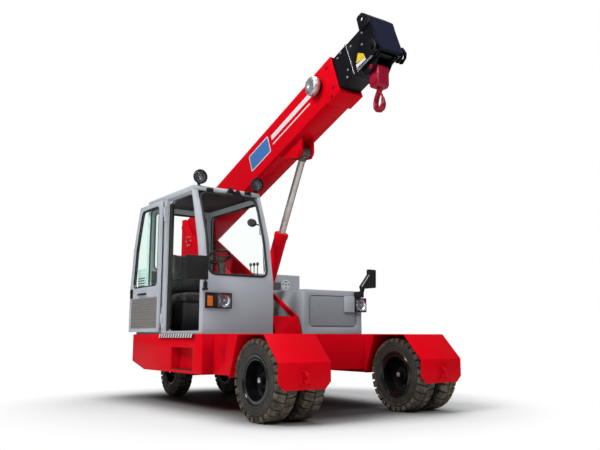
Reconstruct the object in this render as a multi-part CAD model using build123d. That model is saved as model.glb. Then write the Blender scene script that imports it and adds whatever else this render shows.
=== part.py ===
from build123d import *
import math
import os

# Pick and carry crane: a rigid chassis on twin front wheels and two small steered rear wheels,
# a cab on the right side and a telescopic boom on the centre plane.
# +X points to the hook, +Y to the vehicle's left, +Z up, in mm. X is counted from the front axle
# here; at the end every piece moves by one amount, which puts the origin under the middle.

# Wheels
FRONT_TYRE_OD = 710.0
FRONT_TYRE_WIDTH = 213.0
FRONT_RIM_R = 206.0
TWIN_GAP = 78.0                 # between the two tyres of a front pair
OVER_TYRES = 2111.0
FRONT_HUB_R = 78.0
FRONT_AXLE_R = 45.0
REAR_TYRE_OD = 590.0
REAR_TYRE_WIDTH = 178.0
REAR_RIM_R = 160.0
REAR_TRACK = 768.0
REAR_STUB_R = 28.0
WHEELBASE = 2982.0
RUNNING = 0.05                  # radial gap of a pin or shaft in its bore
SEAT = 0.3                      # between pieces that rest against each other
CLEAR = 5.0                     # beside a piece that moves

# Chassis
DECK_Z = 750.0
FRAME_BOTTOM = 359.0
FRAME_REAR_X = -2580.0
CAB_TO_TAPER = 266.0            # from the cab's rear to where the sides start to taper
SIDE_FRONT_X = -980.0
SIDE_Y = 1055.0
PANEL_Y = 927.0
BEAM_FRONT_X = -426.0
BEAM_BOTTOM = 398.0
TAIL_X = -3479.0
TAIL_HALF = 523.0
TAIL_THICK = 110.0
BALLAST_DEPTH = 210.0
BALLAST_LENGTH = 169.0
STEP_X0, STEP_X1 = -1685.0, -1189.0
STEP_Z0, STEP_Z1 = 387.0, 615.0
STEP_DEPTH = 105.0
GRATE_X0, GRATE_X1 = -1960.0, -1150.0
GRATE_WIDTH, GRATE_HEIGHT = 30.0, 36.0
GUSSET_X, GUSSET_HALF, GUSSET_LOW = -770.0, 60.0, 466.0
WELL_REAR, WELL_FRONT = 130.0, 510.0    # well for the lift cylinder, from its foot

# Mudguards and the arms between the twin wheels
GUARD_THICK = 8.0
GUARD_TOP = 747.0
GUARD_LOW = (BEAM_FRONT_X, 360.0)
GUARD_BACK_X = -280.0
GUARD_SLOPE_X = 160.0
GUARD_NOSE = (388.0, 512.0)
GUARD_TIP_Z = 288.0
GUARD_CORNER = 60.0
GUARD_OUTBOARD = 13.0
GUARD_INBOARD = 19.0
ARM_THICK = 44.0
EYE_BORE_R = 16.0
EYE_REACH = 58.0
EYE_Z = 385.0
EYE_THICK = 28.0

# Tower beside the boom
TOWER_THICK = 20.0
TOWER_INNER = 148.0
TOWER_TOE_X = -1040.0
TOWER_KNEE = (-1105.0, 942.0)
TOWER_SLOPE = 29.3              # degrees
TOWER_TOP_X = -3092.0
TOWER_REAR_X = -3400.0
TOWER_REAR_TOP = 2290.0
TOWER_REAR_LENGTH = 100.0       # along the top of the rear corner
TOWER_STRIP = 60.0
TOWER_WINDOW_LENGTH = 480.0
TOWER_WINDOW_BACK = 104.0
TOWER_WEBS = ((TOWER_REAR_X, 480.0), (-2560.0, 280.0))  # X and distance below the pivot

# Hoods, engine and front box
HOOD_TOP = 1512.0
HOOD_SHEET = 5.0
HOOD_INNER = 178.0
HOOD_OUTER = 1020.0
HOOD_GAP = 10.0
ENGINE_LENGTH, ENGINE_WIDTH, ENGINE_HEIGHT = 680.0, 400.0, 630.0
BOX_FRONT_X, BOX_REAR_X = -1044.0, -2290.0
BOX_Y0, BOX_Y1 = 190.0, 1016.0
BOX_TOP = 1239.0
BOX_PANEL_MARGIN = 78.0
BOX_PANEL_DEPTH = 8.0
BOX_PANEL_R = 60.0

# Cab
CAB_RIGHT, CAB_LEFT = -1025.0, -200.0
CAB_REAR_X = -2495.0
CAB_ROOF_Z = 2310.0
ROOF_THICK = 50.0
CAB_WALL = 30.0
CAB_FLOOR = 14.0
FRONT_X = -1044.0
FRONT_LINE = [(FRONT_X, 1310.0), (-1070.0, 1425.0), (-1130.0, 1741.0), (-1238.0, 2038.0), (-1333.0, 2260.0)]
SCREEN_Z0, SCREEN_Z1 = 1350.0, 2225.0
SCREEN_SIDE = 72.0
SCREEN_R = 85.0
WINDOW_R = 60.0
GLASS = 6.0
QUARTER_INSET = 80.0            # from the cab's rear
QUARTER_X1 = -2075.0
LEFT_POSTS = (116.0, 75.0, 67.0, 32.0)  # width of the left front post, from its foot to its top
WINDOW_Z0, WINDOW_Z1 = 1290.0, 2180.0
REAR_WINDOW_Z0 = 1500.0
POST = 90.0                     # width of the posts beside the doorway
SILL_Z = 782.0
HEAD_RAIL_Z = 2235.0

# Door
HINGE_X = -2000.0
HINGE_OUT = 10.0                # hinge axis outboard of the cab side
HINGE_R = 8.0
HINGE_PIN_R = 4.0
DOOR_THICK = 28.0
DOOR_RING = 25.0                # frame that the closed door lies against
DOOR_BACK = 30.0                # from the hinge axis to the door's edge
DOOR_MARGIN = 6.0
DOOR_WIDTH = 842.0
DOOR_KINK_Z = 1300.0
DOOR_TOP_Z = 2243.0
DOOR_BOTTOM_Z = 776.0
DOOR_FRAME = 58.0
DOOR_FREE_FRAME = 86.0
LOUVRE_Z0, LOUVRE_Z1 = 815.0, 1160.0
LOUVRE_COUNT = 16
HINGE_ZS = (920.0, 2110.0)
HINGE_LEAF = 110.0

# Seat and controls
SEAT_Y = -600.0
SEAT_WIDTH = 460.0
SEAT_REAR_GAP = 165.0           # from the cab's rear
SEAT_DEPTH = 440.0
SEAT_HEIGHT = 455.0
BACKREST_HEIGHT = 480.0
WHEEL_X, WHEEL_Y, WHEEL_Z = -1425.0, -655.0, 1572.0
WHEEL_R = 122.0

# Boom, drawn along its own length: S from the pivot to the head, T across its depth
BOOM_ANGLE = 20.9               # degrees above level, as parked
PIVOT_X, PIVOT_Z = -3170.0, 1977.0
PIVOT_PIN_R = 50.0
BOOM_HALF = 142.0
BOOM_TOP, BOOM_BOTTOM = 329.0, -75.0
BOOM_WALL = 8.0
BOOM_REAR_S = -200.0
BOOM_END_S = 3420.0
COLLAR_TOP_S = 3120.0
COLLAR_LOW_S = 3210.0
COLLAR_DROP = 27.0
COLLAR_PROUD = 5.0
STAGE_GAP = 10.0
STAGE_WALL = 7.0
STAGE_TOP_GAP = 18.0
STAGE_REAR_S = 300.0
STAGE_OUT = 220.0               # first stage standing out of the collar
FLANGE_THICK = 16.0
FLANGE_PROUD = 15.0
PAD_LENGTH = 90.0
PAD_GAP = 1.0
HEAD_LENGTH = 388.0
HEAD_HALF = 136.0
HEAD_TOP, HEAD_BOTTOM = 282.0, -84.0
HEAD_PLATE = 16.0
NOSE_THICK = 22.0
NOSE_PROUD = 14.0
CHEEK_HALF = 84.0
HOOK_PIN_S, HOOK_PIN_T = 3850.0, -132.0
HOOK_PIN_R = 22.0
EYE_R = 20.0
UPPER_EYE = (3957.0, 352.0)
LOWER_EYE = (4010.0, -72.0)

# Hook
BLOCK_LENGTH, BLOCK_WIDTH, BLOCK_HEIGHT = 124.0, 132.0, 214.0
SHANK_R = 18.0
BOWL_R = 54.0
BOWL_BAR_R = 19.0
BOWL_DROP = 158.0
TIP_RISE = 12.0                 # degrees that the bowl goes on above its widest point

# Lift cylinder
FOOT_X, FOOT_Z = -1930.0, 426.0
ROD_EYE_X, ROD_EYE_Z = -753.0, 2684.0
BARREL_R = 72.5
BARREL_WALL = 13.0
BARREL_LENGTH = 1620.0
ROD_R = 37.5
ROD_LENGTH = 1756.0
PISTON_LENGTH = 80.0
PIN_R = 30.0
EAR_GAP = 62.0
EAR_THICK = 22.0

# Rear axle
KING_Y = 255.0
KING_R = 18.0
KING_BOSS_R = 34.0
KING_HALF = 33.0
AXLE_HALF = 30.0

# Lamps, mirrors and reel
LAMP_R = 78.0
LAMP_DEPTH = 85.0
LAMP_Z = 2400.0
LAMP_YS = {"right": -945.0, "left": -240.0}
MIRROR_SIZE = 238.0
MIRROR_THICK = 44.0
REEL_S, REEL_T, REEL_R = 3124.0, 170.0, 102.0
REEL_WIDTH = 66.0

FRONT_R = FRONT_TYRE_OD / 2
REAR_R = REAR_TYRE_OD / 2
OUTER_TYRE_Y = OVER_TYRES / 2 - FRONT_TYRE_WIDTH / 2
INNER_TYRE_Y = OUTER_TYRE_Y - FRONT_TYRE_WIDTH - TWIN_GAP
ARM_Y = (OUTER_TYRE_Y + INNER_TYRE_Y) / 2
GUARD_OUT_Y = OVER_TYRES / 2 + GUARD_OUTBOARD
GUARD_IN_Y = INNER_TYRE_Y - FRONT_TYRE_WIDTH / 2 - GUARD_INBOARD
REAR_X = -WHEELBASE
TAIL_BOTTOM = DECK_Z - TAIL_THICK
SIDE_REAR_X = CAB_REAR_X - CAB_TO_TAPER
QUARTER_X0 = CAB_REAR_X + QUARTER_INSET
SEAT_FRONT_X = CAB_REAR_X + SEAT_REAR_GAP + SEAT_DEPTH
HINGE_Y = CAB_RIGHT - HINGE_OUT
SHELL_TOP = CAB_ROOF_Z - ROOF_THICK
CAB_BOTTOM = DECK_Z + SEAT
FLOOR_Z = CAB_BOTTOM + CAB_FLOOR
COS_BOOM, SIN_BOOM = math.cos(math.radians(BOOM_ANGLE)), math.sin(math.radians(BOOM_ANGLE))
CYL_LENGTH = math.hypot(ROD_EYE_X - FOOT_X, ROD_EYE_Z - FOOT_Z)
CYL_ANGLE = math.degrees(math.atan2(ROD_EYE_Z - FOOT_Z, ROD_EYE_X - FOOT_X))
EYE_S = (ROD_EYE_X - PIVOT_X) * COS_BOOM + (ROD_EYE_Z - PIVOT_Z) * SIN_BOOM
EYE_T = (ROD_EYE_Z - PIVOT_Z) * COS_BOOM - (ROD_EYE_X - PIVOT_X) * SIN_BOOM
FLANGE_S = BOOM_END_S + STAGE_OUT
HEAD_S = FLANGE_S + FLANGE_THICK + CLEAR
HOOK_X = PIVOT_X + HOOK_PIN_S * COS_BOOM - HOOK_PIN_T * SIN_BOOM
HOOK_Z = PIVOT_Z + HOOK_PIN_S * SIN_BOOM + HOOK_PIN_T * COS_BOOM
SHANK_Z = HOOK_Z - BLOCK_HEIGHT + 20.0
BOWL_Z = SHANK_Z - BOWL_DROP


def block(x0, x1, y0, y1, z0, z1):
    """Box between the given limits."""
    return Pos((x0 + x1) / 2, (y0 + y1) / 2, (z0 + z1) / 2) * Box(abs(x1 - x0), abs(y1 - y0), abs(z1 - z0))


def ordered(points):
    """The outline's points, always anticlockwise."""
    area = sum(x0 * z1 - x1 * z0 for (x0, z0), (x1, z1) in zip(points, points[1:] + points[:1]))
    return list(points) if area > 0 else list(points)[::-1]


def face(points, radius=0.0):
    """Flat face inside an outline, with its corners rounded."""
    flat = Polygon(*ordered(points), align=None)
    return fillet(flat.vertices(), radius) if radius else flat


def plate_xz(points, y0, y1, radius=0.0):
    """Flat plate with its outline in the side view."""
    plane = Plane(origin=(0, max(y0, y1), 0), x_dir=(1, 0, 0), z_dir=(0, -1, 0))
    return extrude(plane * face(points, radius), abs(y1 - y0))


def plate_xy(points, z0, z1, radius=0.0):
    """Flat plate with its outline in plan."""
    plane = Plane(origin=(0, 0, min(z0, z1)), x_dir=(1, 0, 0), z_dir=(0, 0, 1))
    return extrude(plane * face(points, radius), abs(z1 - z0))


def plate_yz(points, x0, x1, radius=0.0):
    """Flat plate with its outline in the front view."""
    plane = Plane(origin=(min(x0, x1), 0, 0), x_dir=(0, 1, 0), z_dir=(1, 0, 0))
    return extrude(plane * face(points, radius), abs(x1 - x0))


def rectangle(a0, a1, b0, b1):
    """Four corners of a rectangle."""
    return [(a0, b0), (a1, b0), (a1, b1), (a0, b1)]


def drum_y(x, z, r, y0, y1):
    """Round bar across the vehicle."""
    return Pos(x, (y0 + y1) / 2, z) * Rot(90, 0, 0) * Cylinder(r, abs(y1 - y0))


def drum_x(y, z, r, x0, x1):
    """Round bar along the vehicle."""
    return Pos((x0 + x1) / 2, y, z) * Rot(0, 90, 0) * Cylinder(r, abs(x1 - x0))


def drum_z(x, y, r, z0, z1):
    """Upright round bar."""
    return Pos(x, y, (z0 + z1) / 2) * Cylinder(r, abs(z1 - z0))


def inset(points, distance):
    """The open outline moved to its right-hand side by a distance."""
    lines = []
    for (x0, z0), (x1, z1) in zip(points, points[1:]):
        length = math.hypot(x1 - x0, z1 - z0)
        nx, nz = (z1 - z0) / length * distance, -(x1 - x0) / length * distance
        lines.append(((x0 + nx, z0 + nz), (x1 + nx, z1 + nz)))
    moved = [lines[0][0]]
    for (a, b), (c, d) in zip(lines, lines[1:]):
        den = (b[0] - a[0]) * (d[1] - c[1]) - (b[1] - a[1]) * (d[0] - c[0])
        k = ((c[0] - a[0]) * (d[1] - c[1]) - (c[1] - a[1]) * (d[0] - c[0])) / den
        moved.append((a[0] + k * (b[0] - a[0]), a[1] + k * (b[1] - a[1])))
    return moved + [lines[-1][1]]


def grown(points, distance):
    """The closed outline moved outwards by a distance, or inwards if it is negative."""
    ring = ordered(points)
    return inset([ring[-1]] + ring + [ring[0]], distance)[1:-1]


def bent(points, thick):
    """Closed outline of a bent sheet that lies to the right of an open line."""
    return points + inset(points, thick)[::-1]


def both_sides(shape):
    """A piece and its mirror image on the other side of the centre plane."""
    return shape + mirror(shape, about=Plane.XZ)


def other_side(shape):
    """The same piece on the other side of the centre plane."""
    return mirror(shape, about=Plane.XZ)


def on_boom(shape):
    """Moves a piece drawn along the boom to its place."""
    return Location((PIVOT_X, 0, PIVOT_Z), (0, -BOOM_ANGLE, 0)) * shape


def on_cylinder(shape):
    """Moves a piece drawn along X from the foot eye of the lift cylinder to its place."""
    return Location((FOOT_X, 0, FOOT_Z), (0, -CYL_ANGLE, 0)) * shape


def turned(points, x, z, y_mid):
    """Turned piece with its axle across the vehicle; points are (radius, width) pairs."""
    return Pos(x, y_mid, z) * revolve(face(points), Axis.Y)


def tyre(radius, width, rim_radius, x, y):
    """Solid tyre with rounded shoulders."""
    half = width / 2
    outline = [
        (rim_radius, 12 - half), (rim_radius + 14, -half), (radius - 62, -half), (radius - 20, 10 - half),
        (radius, 32 - half), (radius, half - 32), (radius - 20, half - 10), (radius - 62, half),
        (rim_radius + 14, half), (rim_radius, half - 12),
    ]
    return turned(outline, x, radius, y)


def deep_rim(radius, width, x, z, y, out):
    """Dished rim, open to the side that out points to, with its disc, hub and wheel nuts."""
    half = width / 2
    band = [(radius - 14, 4 - half), (radius + 4, 4 - half), (radius, 12 - half),
            (radius, half - 12), (radius + 4, half - 4), (radius - 14, half - 4)]
    disc_y = y - out * (half - 46)
    shape = turned(band, x, z, y)
    shape += drum_y(x, z, radius - 10, disc_y - 8, disc_y + 8)
    shape += drum_y(x, z, FRONT_HUB_R, disc_y, disc_y + out * 62)
    shape += drum_y(x, z, FRONT_HUB_R - 26, disc_y + out * 62, disc_y + out * 84)
    for k in range(8):
        a = math.radians(22.5 + 45 * k)
        shape += drum_y(x + 112 * math.cos(a), z + 112 * math.sin(a), 11, disc_y, disc_y + out * 26)
    return shape


def front_wheels():
    """Two pairs of twin wheels, each pair on one axle through its arm."""
    nodes = {}
    for side, sign in (("right", -1), ("left", 1)):
        for place, y in (("outer", OUTER_TYRE_Y), ("inner", INNER_TYRE_Y)):
            nodes[f"front_tyre_{side}_{place}"] = tyre(FRONT_R, FRONT_TYRE_WIDTH, FRONT_RIM_R, 0, sign * y)
        rims = deep_rim(FRONT_RIM_R, FRONT_TYRE_WIDTH, 0, FRONT_R, sign * OUTER_TYRE_Y, sign)
        rims += deep_rim(FRONT_RIM_R, FRONT_TYRE_WIDTH, 0, FRONT_R, sign * INNER_TYRE_Y, -sign)
        rims += drum_y(0, FRONT_R, FRONT_AXLE_R, sign * INNER_TYRE_Y, sign * OUTER_TYRE_Y)
        nodes[f"front_rims_{side}"] = rims
    return nodes


def guard_line():
    """Outer side of a mudguard, from its rear foot over the wheel to the front tip."""
    nose_x, nose_z = GUARD_NOSE
    return [GUARD_LOW, (GUARD_BACK_X, GUARD_TOP), (GUARD_SLOPE_X, GUARD_TOP), (nose_x, nose_z), (nose_x, GUARD_TIP_Z)]


def front_arms():
    """Mudguards of bent plate, each on the arm that carries its wheels."""
    nose_x = GUARD_NOSE[0]
    guard = plate_xz(bent(guard_line(), GUARD_THICK), GUARD_IN_Y, GUARD_OUT_Y)
    for edge, inward in ((GUARD_IN_Y, 1), (GUARD_OUT_Y, -1)):
        corner = [(edge - inward, GUARD_TIP_Z - 1), (edge + inward * GUARD_CORNER, GUARD_TIP_Z - 1),
                  (edge - inward, GUARD_TIP_Z + GUARD_CORNER)]
        guard -= plate_yz(corner, nose_x - GUARD_THICK - 1, nose_x + 1)
    backing = plate_yz(rectangle(ARM_Y - 58, ARM_Y + 58, EYE_Z - 75, EYE_Z + 75), nose_x, nose_x + 8)
    for dy in (-42, 42):
        for dz in (-58, 58):
            backing += drum_x(ARM_Y + dy, EYE_Z + dz, 9, nose_x + 8, nose_x + 16)
    eye = plate_xz([(nose_x + 8, EYE_Z - 55), (nose_x + EYE_REACH, EYE_Z - 30), (nose_x + EYE_REACH, EYE_Z + 30),
                    (nose_x + 8, EYE_Z + 55)], ARM_Y - EYE_THICK / 2, ARM_Y + EYE_THICK / 2)
    eye -= drum_y(nose_x + 34, EYE_Z, EYE_BORE_R, ARM_Y - EYE_THICK, ARM_Y + EYE_THICK)
    guard += backing + eye
    web = inset(guard_line(), GUARD_THICK)
    arm_outline = web[:-1] + [(web[-1][0], 330), (340, 300), (150, 262), (0, 245), (-180, 300)]
    arm = plate_xz(arm_outline, ARM_Y - ARM_THICK / 2, ARM_Y + ARM_THICK / 2)
    arm += drum_y(0, FRONT_R, FRONT_AXLE_R + 45, ARM_Y - 34, ARM_Y + 34)
    arm -= drum_y(0, FRONT_R, FRONT_AXLE_R + RUNNING, ARM_Y - TWIN_GAP, ARM_Y + TWIN_GAP)
    return {
        "mudguard_right": other_side(guard), "mudguard_left": guard,
        "axle_arm_right": other_side(arm), "axle_arm_left": arm,
    }


def tail_half(x):
    """Half width of the tapering tail at x."""
    run = (x - SIDE_REAR_X) / (TAIL_X - SIDE_REAR_X)
    return SIDE_Y + (TAIL_HALF - SIDE_Y) * run


def chassis():
    """Welded frame with its cross beam, side boxes, tail and the ballast behind the wheels."""
    frame = plate_xz([(FRAME_REAR_X, FRAME_BOTTOM), (-1000, FRAME_BOTTOM), (-960, BEAM_BOTTOM),
                      (BEAM_FRONT_X, BEAM_BOTTOM), (BEAM_FRONT_X, DECK_Z), (FRAME_REAR_X, DECK_Z)],
                     -GUARD_IN_Y, GUARD_IN_Y)
    wing = plate_xz([(FRAME_REAR_X, FRAME_BOTTOM), GUARD_LOW, (GUARD_BACK_X, GUARD_TOP), (GUARD_BACK_X, DECK_Z),
                     (FRAME_REAR_X, DECK_Z)], GUARD_IN_Y, PANEL_Y)
    frame += both_sides(wing)
    frame += both_sides(gusset())
    frame -= block(FOOT_X - WELL_REAR, FOOT_X + WELL_FRONT, 20 - TOWER_INNER, TOWER_INNER - 20, FRAME_BOTTOM - 5, DECK_Z + 5)
    frame += drum_y(FOOT_X, FOOT_Z, PIN_R, 19 - TOWER_INNER, TOWER_INNER - 19)
    side = [(SIDE_REAR_X, 445), (SIDE_REAR_X + 358, FRAME_BOTTOM), (SIDE_FRONT_X, FRAME_BOTTOM), (SIDE_FRONT_X, DECK_Z),
            (FRAME_REAR_X, DECK_Z), (FRAME_REAR_X, TAIL_BOTTOM), (SIDE_REAR_X, TAIL_BOTTOM)]
    right = plate_xz(side, -SIDE_Y, -PANEL_Y)
    right -= block(STEP_X0, STEP_X1, -SIDE_Y - 1, STEP_DEPTH - SIDE_Y, STEP_Z0, STEP_Z1)
    frame += right + plate_xz(side, PANEL_Y, SIDE_Y)
    tail = [(FRAME_REAR_X, -SIDE_Y), (SIDE_REAR_X, -SIDE_Y), (TAIL_X, -TAIL_HALF)]
    tail += [(x, -y) for x, y in reversed(tail)]
    frame += plate_xy(tail, TAIL_BOTTOM, DECK_Z)
    ballast_x = TAIL_X + BALLAST_LENGTH
    plan = [(ballast_x, -tail_half(ballast_x)), (TAIL_X, -TAIL_HALF), (TAIL_X, TAIL_HALF), (ballast_x, tail_half(ballast_x))]
    grate = block(GRATE_X0, GRATE_X1, -SIDE_Y - GRATE_WIDTH, -SIDE_Y, DECK_Z - GRATE_HEIGHT + 6, DECK_Z - GRATE_HEIGHT + 12)
    grate += block(GRATE_X0, GRATE_X1, -SIDE_Y - 5, -SIDE_Y, DECK_Z - GRATE_HEIGHT, DECK_Z + 4)
    teeth = 14
    pitch = (GRATE_X1 - GRATE_X0 - 6) / (teeth - 1)
    for k in range(teeth):
        x = GRATE_X0 + k * pitch
        grate += block(x, x + 6, -SIDE_Y - GRATE_WIDTH, -SIDE_Y, DECK_Z - GRATE_HEIGHT, DECK_Z + 4)
    return {"chassis_frame": frame, "counterweight": plate_xy(plan, TAIL_BOTTOM - BALLAST_DEPTH, TAIL_BOTTOM),
            "step_grating": grate}


def gusset():
    """Wedge on the side panel, wide at the deck and ending in a point below."""
    x, half, root = GUSSET_X, GUSSET_HALF, PANEL_Y - 1
    high = Plane(origin=(0, 0, DECK_Z - 4), x_dir=(1, 0, 0), z_dir=(0, 0, 1))
    low = Plane(origin=(0, 0, GUSSET_LOW), x_dir=(1, 0, 0), z_dir=(0, 0, 1))
    top = [(x - half, root), (x + half, root), (x, SIDE_Y - 25)]
    tip = [(x - half / 10, root), (x + half / 10, root), (x, root + 4)]
    return loft([high * face(top), low * face(tip)])


def tower():
    """Two side plates with a toe, a long slope, the boom pivot near the rear and a high rear corner."""
    tan = math.tan(math.radians(TOWER_SLOPE))
    knee_x, knee_z = TOWER_KNEE
    top_z = knee_z + (knee_x - TOWER_TOP_X) * tan
    side = [(TOWER_TOE_X, DECK_Z), TOWER_KNEE, (TOWER_TOP_X, top_z), (TOWER_REAR_X + TOWER_REAR_LENGTH, TOWER_REAR_TOP),
            (TOWER_REAR_X, TOWER_REAR_TOP), (TOWER_REAR_X, DECK_Z)]
    plate = plate_xz(side, TOWER_INNER, TOWER_INNER + TOWER_THICK)
    start_x, start_z = knee_x - TOWER_WINDOW_BACK, knee_z + TOWER_WINDOW_BACK * tan - TOWER_STRIP
    end_x = start_x - TOWER_WINDOW_LENGTH
    plate -= plate_xz([(start_x, start_z), (end_x, start_z + TOWER_WINDOW_LENGTH * tan), (end_x, start_z)],
                      TOWER_INNER - 1, TOWER_INNER + TOWER_THICK + 1)
    shape = both_sides(plate)
    shape += plate_xz([(TOWER_TOE_X, DECK_Z), TOWER_KNEE, (knee_x - 14, knee_z), (knee_x - 14, DECK_Z)], -TOWER_INNER, TOWER_INNER)
    for web_x, drop in TOWER_WEBS:
        shape += block(web_x, web_x + TOWER_THICK, -TOWER_INNER, TOWER_INNER, DECK_Z, PIVOT_Z - drop)
    ends = TOWER_INNER + TOWER_THICK + 8
    shape += drum_y(PIVOT_X, PIVOT_Z, PIVOT_PIN_R, -ends, ends)
    for s in (-1, 1):
        shape += drum_y(PIVOT_X, PIVOT_Z, PIVOT_PIN_R + 35, s * (TOWER_INNER + TOWER_THICK), s * ends)
    return {"tower": shape}


def hood(front_x, sign, grille):
    """Sheet hood that tapers with the tail, open underneath."""
    def plan(front, inner, off):
        back = TAIL_X + 20 + off
        rear = tail_half(back) - (SIDE_Y - HOOD_OUTER) - off
        points = [(front, inner), (front, HOOD_OUTER - off), (SIDE_REAR_X, HOOD_OUTER - off), (back, rear), (back, inner)]
        return [(x, sign * y) for x, y in points]
    shape = plate_xy(plan(front_x, HOOD_INNER, 0), DECK_Z, HOOD_TOP)
    shape -= plate_xy(plan(front_x - HOOD_SHEET, HOOD_INNER + HOOD_SHEET, HOOD_SHEET), DECK_Z - 1, HOOD_TOP - HOOD_SHEET)
    if grille:
        shape -= plate_yz(rectangle(430, 727, 1311, 1412), front_x - 2.5, front_x + 1)
    return shape


def bodywork():
    """Hoods beside the tower, the engine under the left one and the box ahead of it."""
    engine_x = BOX_REAR_X - 130.0
    inner_y = HOOD_INNER + 62.0
    box = block(BOX_REAR_X, BOX_FRONT_X, BOX_Y0, BOX_Y1, DECK_Z, BOX_TOP)
    sheet = HOOD_SHEET
    box -= block(BOX_REAR_X + sheet, BOX_FRONT_X - sheet - BOX_PANEL_DEPTH, BOX_Y0 + sheet, BOX_Y1 - sheet, DECK_Z - 1,
                 BOX_TOP - sheet)
    panel = rectangle(BOX_Y0 + BOX_PANEL_MARGIN, BOX_Y1 - BOX_PANEL_MARGIN, DECK_Z + BOX_PANEL_MARGIN, BOX_TOP - 62)
    box -= plate_yz(panel, BOX_FRONT_X - BOX_PANEL_DEPTH, BOX_FRONT_X + 1, BOX_PANEL_R)
    return {
        "hood_right": hood(CAB_REAR_X - HOOD_GAP - 4, -1, False),
        "hood_left": hood(BOX_REAR_X - HOOD_GAP, 1, True),
        "engine_block": block(engine_x - ENGINE_LENGTH, engine_x, inner_y, inner_y + ENGINE_WIDTH, DECK_Z, DECK_Z + ENGINE_HEIGHT),
        "front_box": box,
    }


def left_window():
    """Outline of the window in the cab's left side."""
    foot, low, high, top = LEFT_POSTS
    return [(QUARTER_X0, WINDOW_Z0), (FRONT_X - foot, WINDOW_Z0), (FRONT_LINE[2][0] - low, FRONT_LINE[2][1]),
            (FRONT_LINE[3][0] - high, FRONT_LINE[3][1]), (FRONT_LINE[4][0] - top, WINDOW_Z1), (QUARTER_X0, WINDOW_Z1)]


def door_outline():
    """Outline of the closed door."""
    rear, front = HINGE_X + DOOR_BACK, HINGE_X + DOOR_BACK + DOOR_WIDTH
    return [(rear, DOOR_BOTTOM_Z), (front, DOOR_BOTTOM_Z), (front, DOOR_KINK_Z), (front - 30, 1431), (front - 74, 1741),
            (front - 165, 2038), (front - 238, DOOR_TOP_Z), (rear, DOOR_TOP_Z)]


def door_window():
    """Outline of the closed door's window."""
    slope = [(x - DOOR_FREE_FRAME, z) for x, z in door_outline()[3:6]]
    rear, top = HINGE_X + DOOR_BACK + DOOR_FRAME, DOOR_TOP_Z - DOOR_FRAME
    last_x, last_z = slope[-1]
    return [(rear, WINDOW_Z0), (slope[0][0] + 20, WINDOW_Z0)] + slope + [(last_x - (top - last_z) * 0.36, top), (rear, top)]


def doorway():
    """Clear opening of the doorway."""
    front = HINGE_X + DOOR_BACK + DOOR_WIDTH
    return [(HINGE_X + POST, SILL_Z), (front - 36, SILL_Z), (front - 36, 1292), (front - 102, 1580), (front - 214, 1988),
            (front - 290, HEAD_RAIL_Z - 10), (HINGE_X + POST, HEAD_RAIL_Z - 10)]


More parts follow.
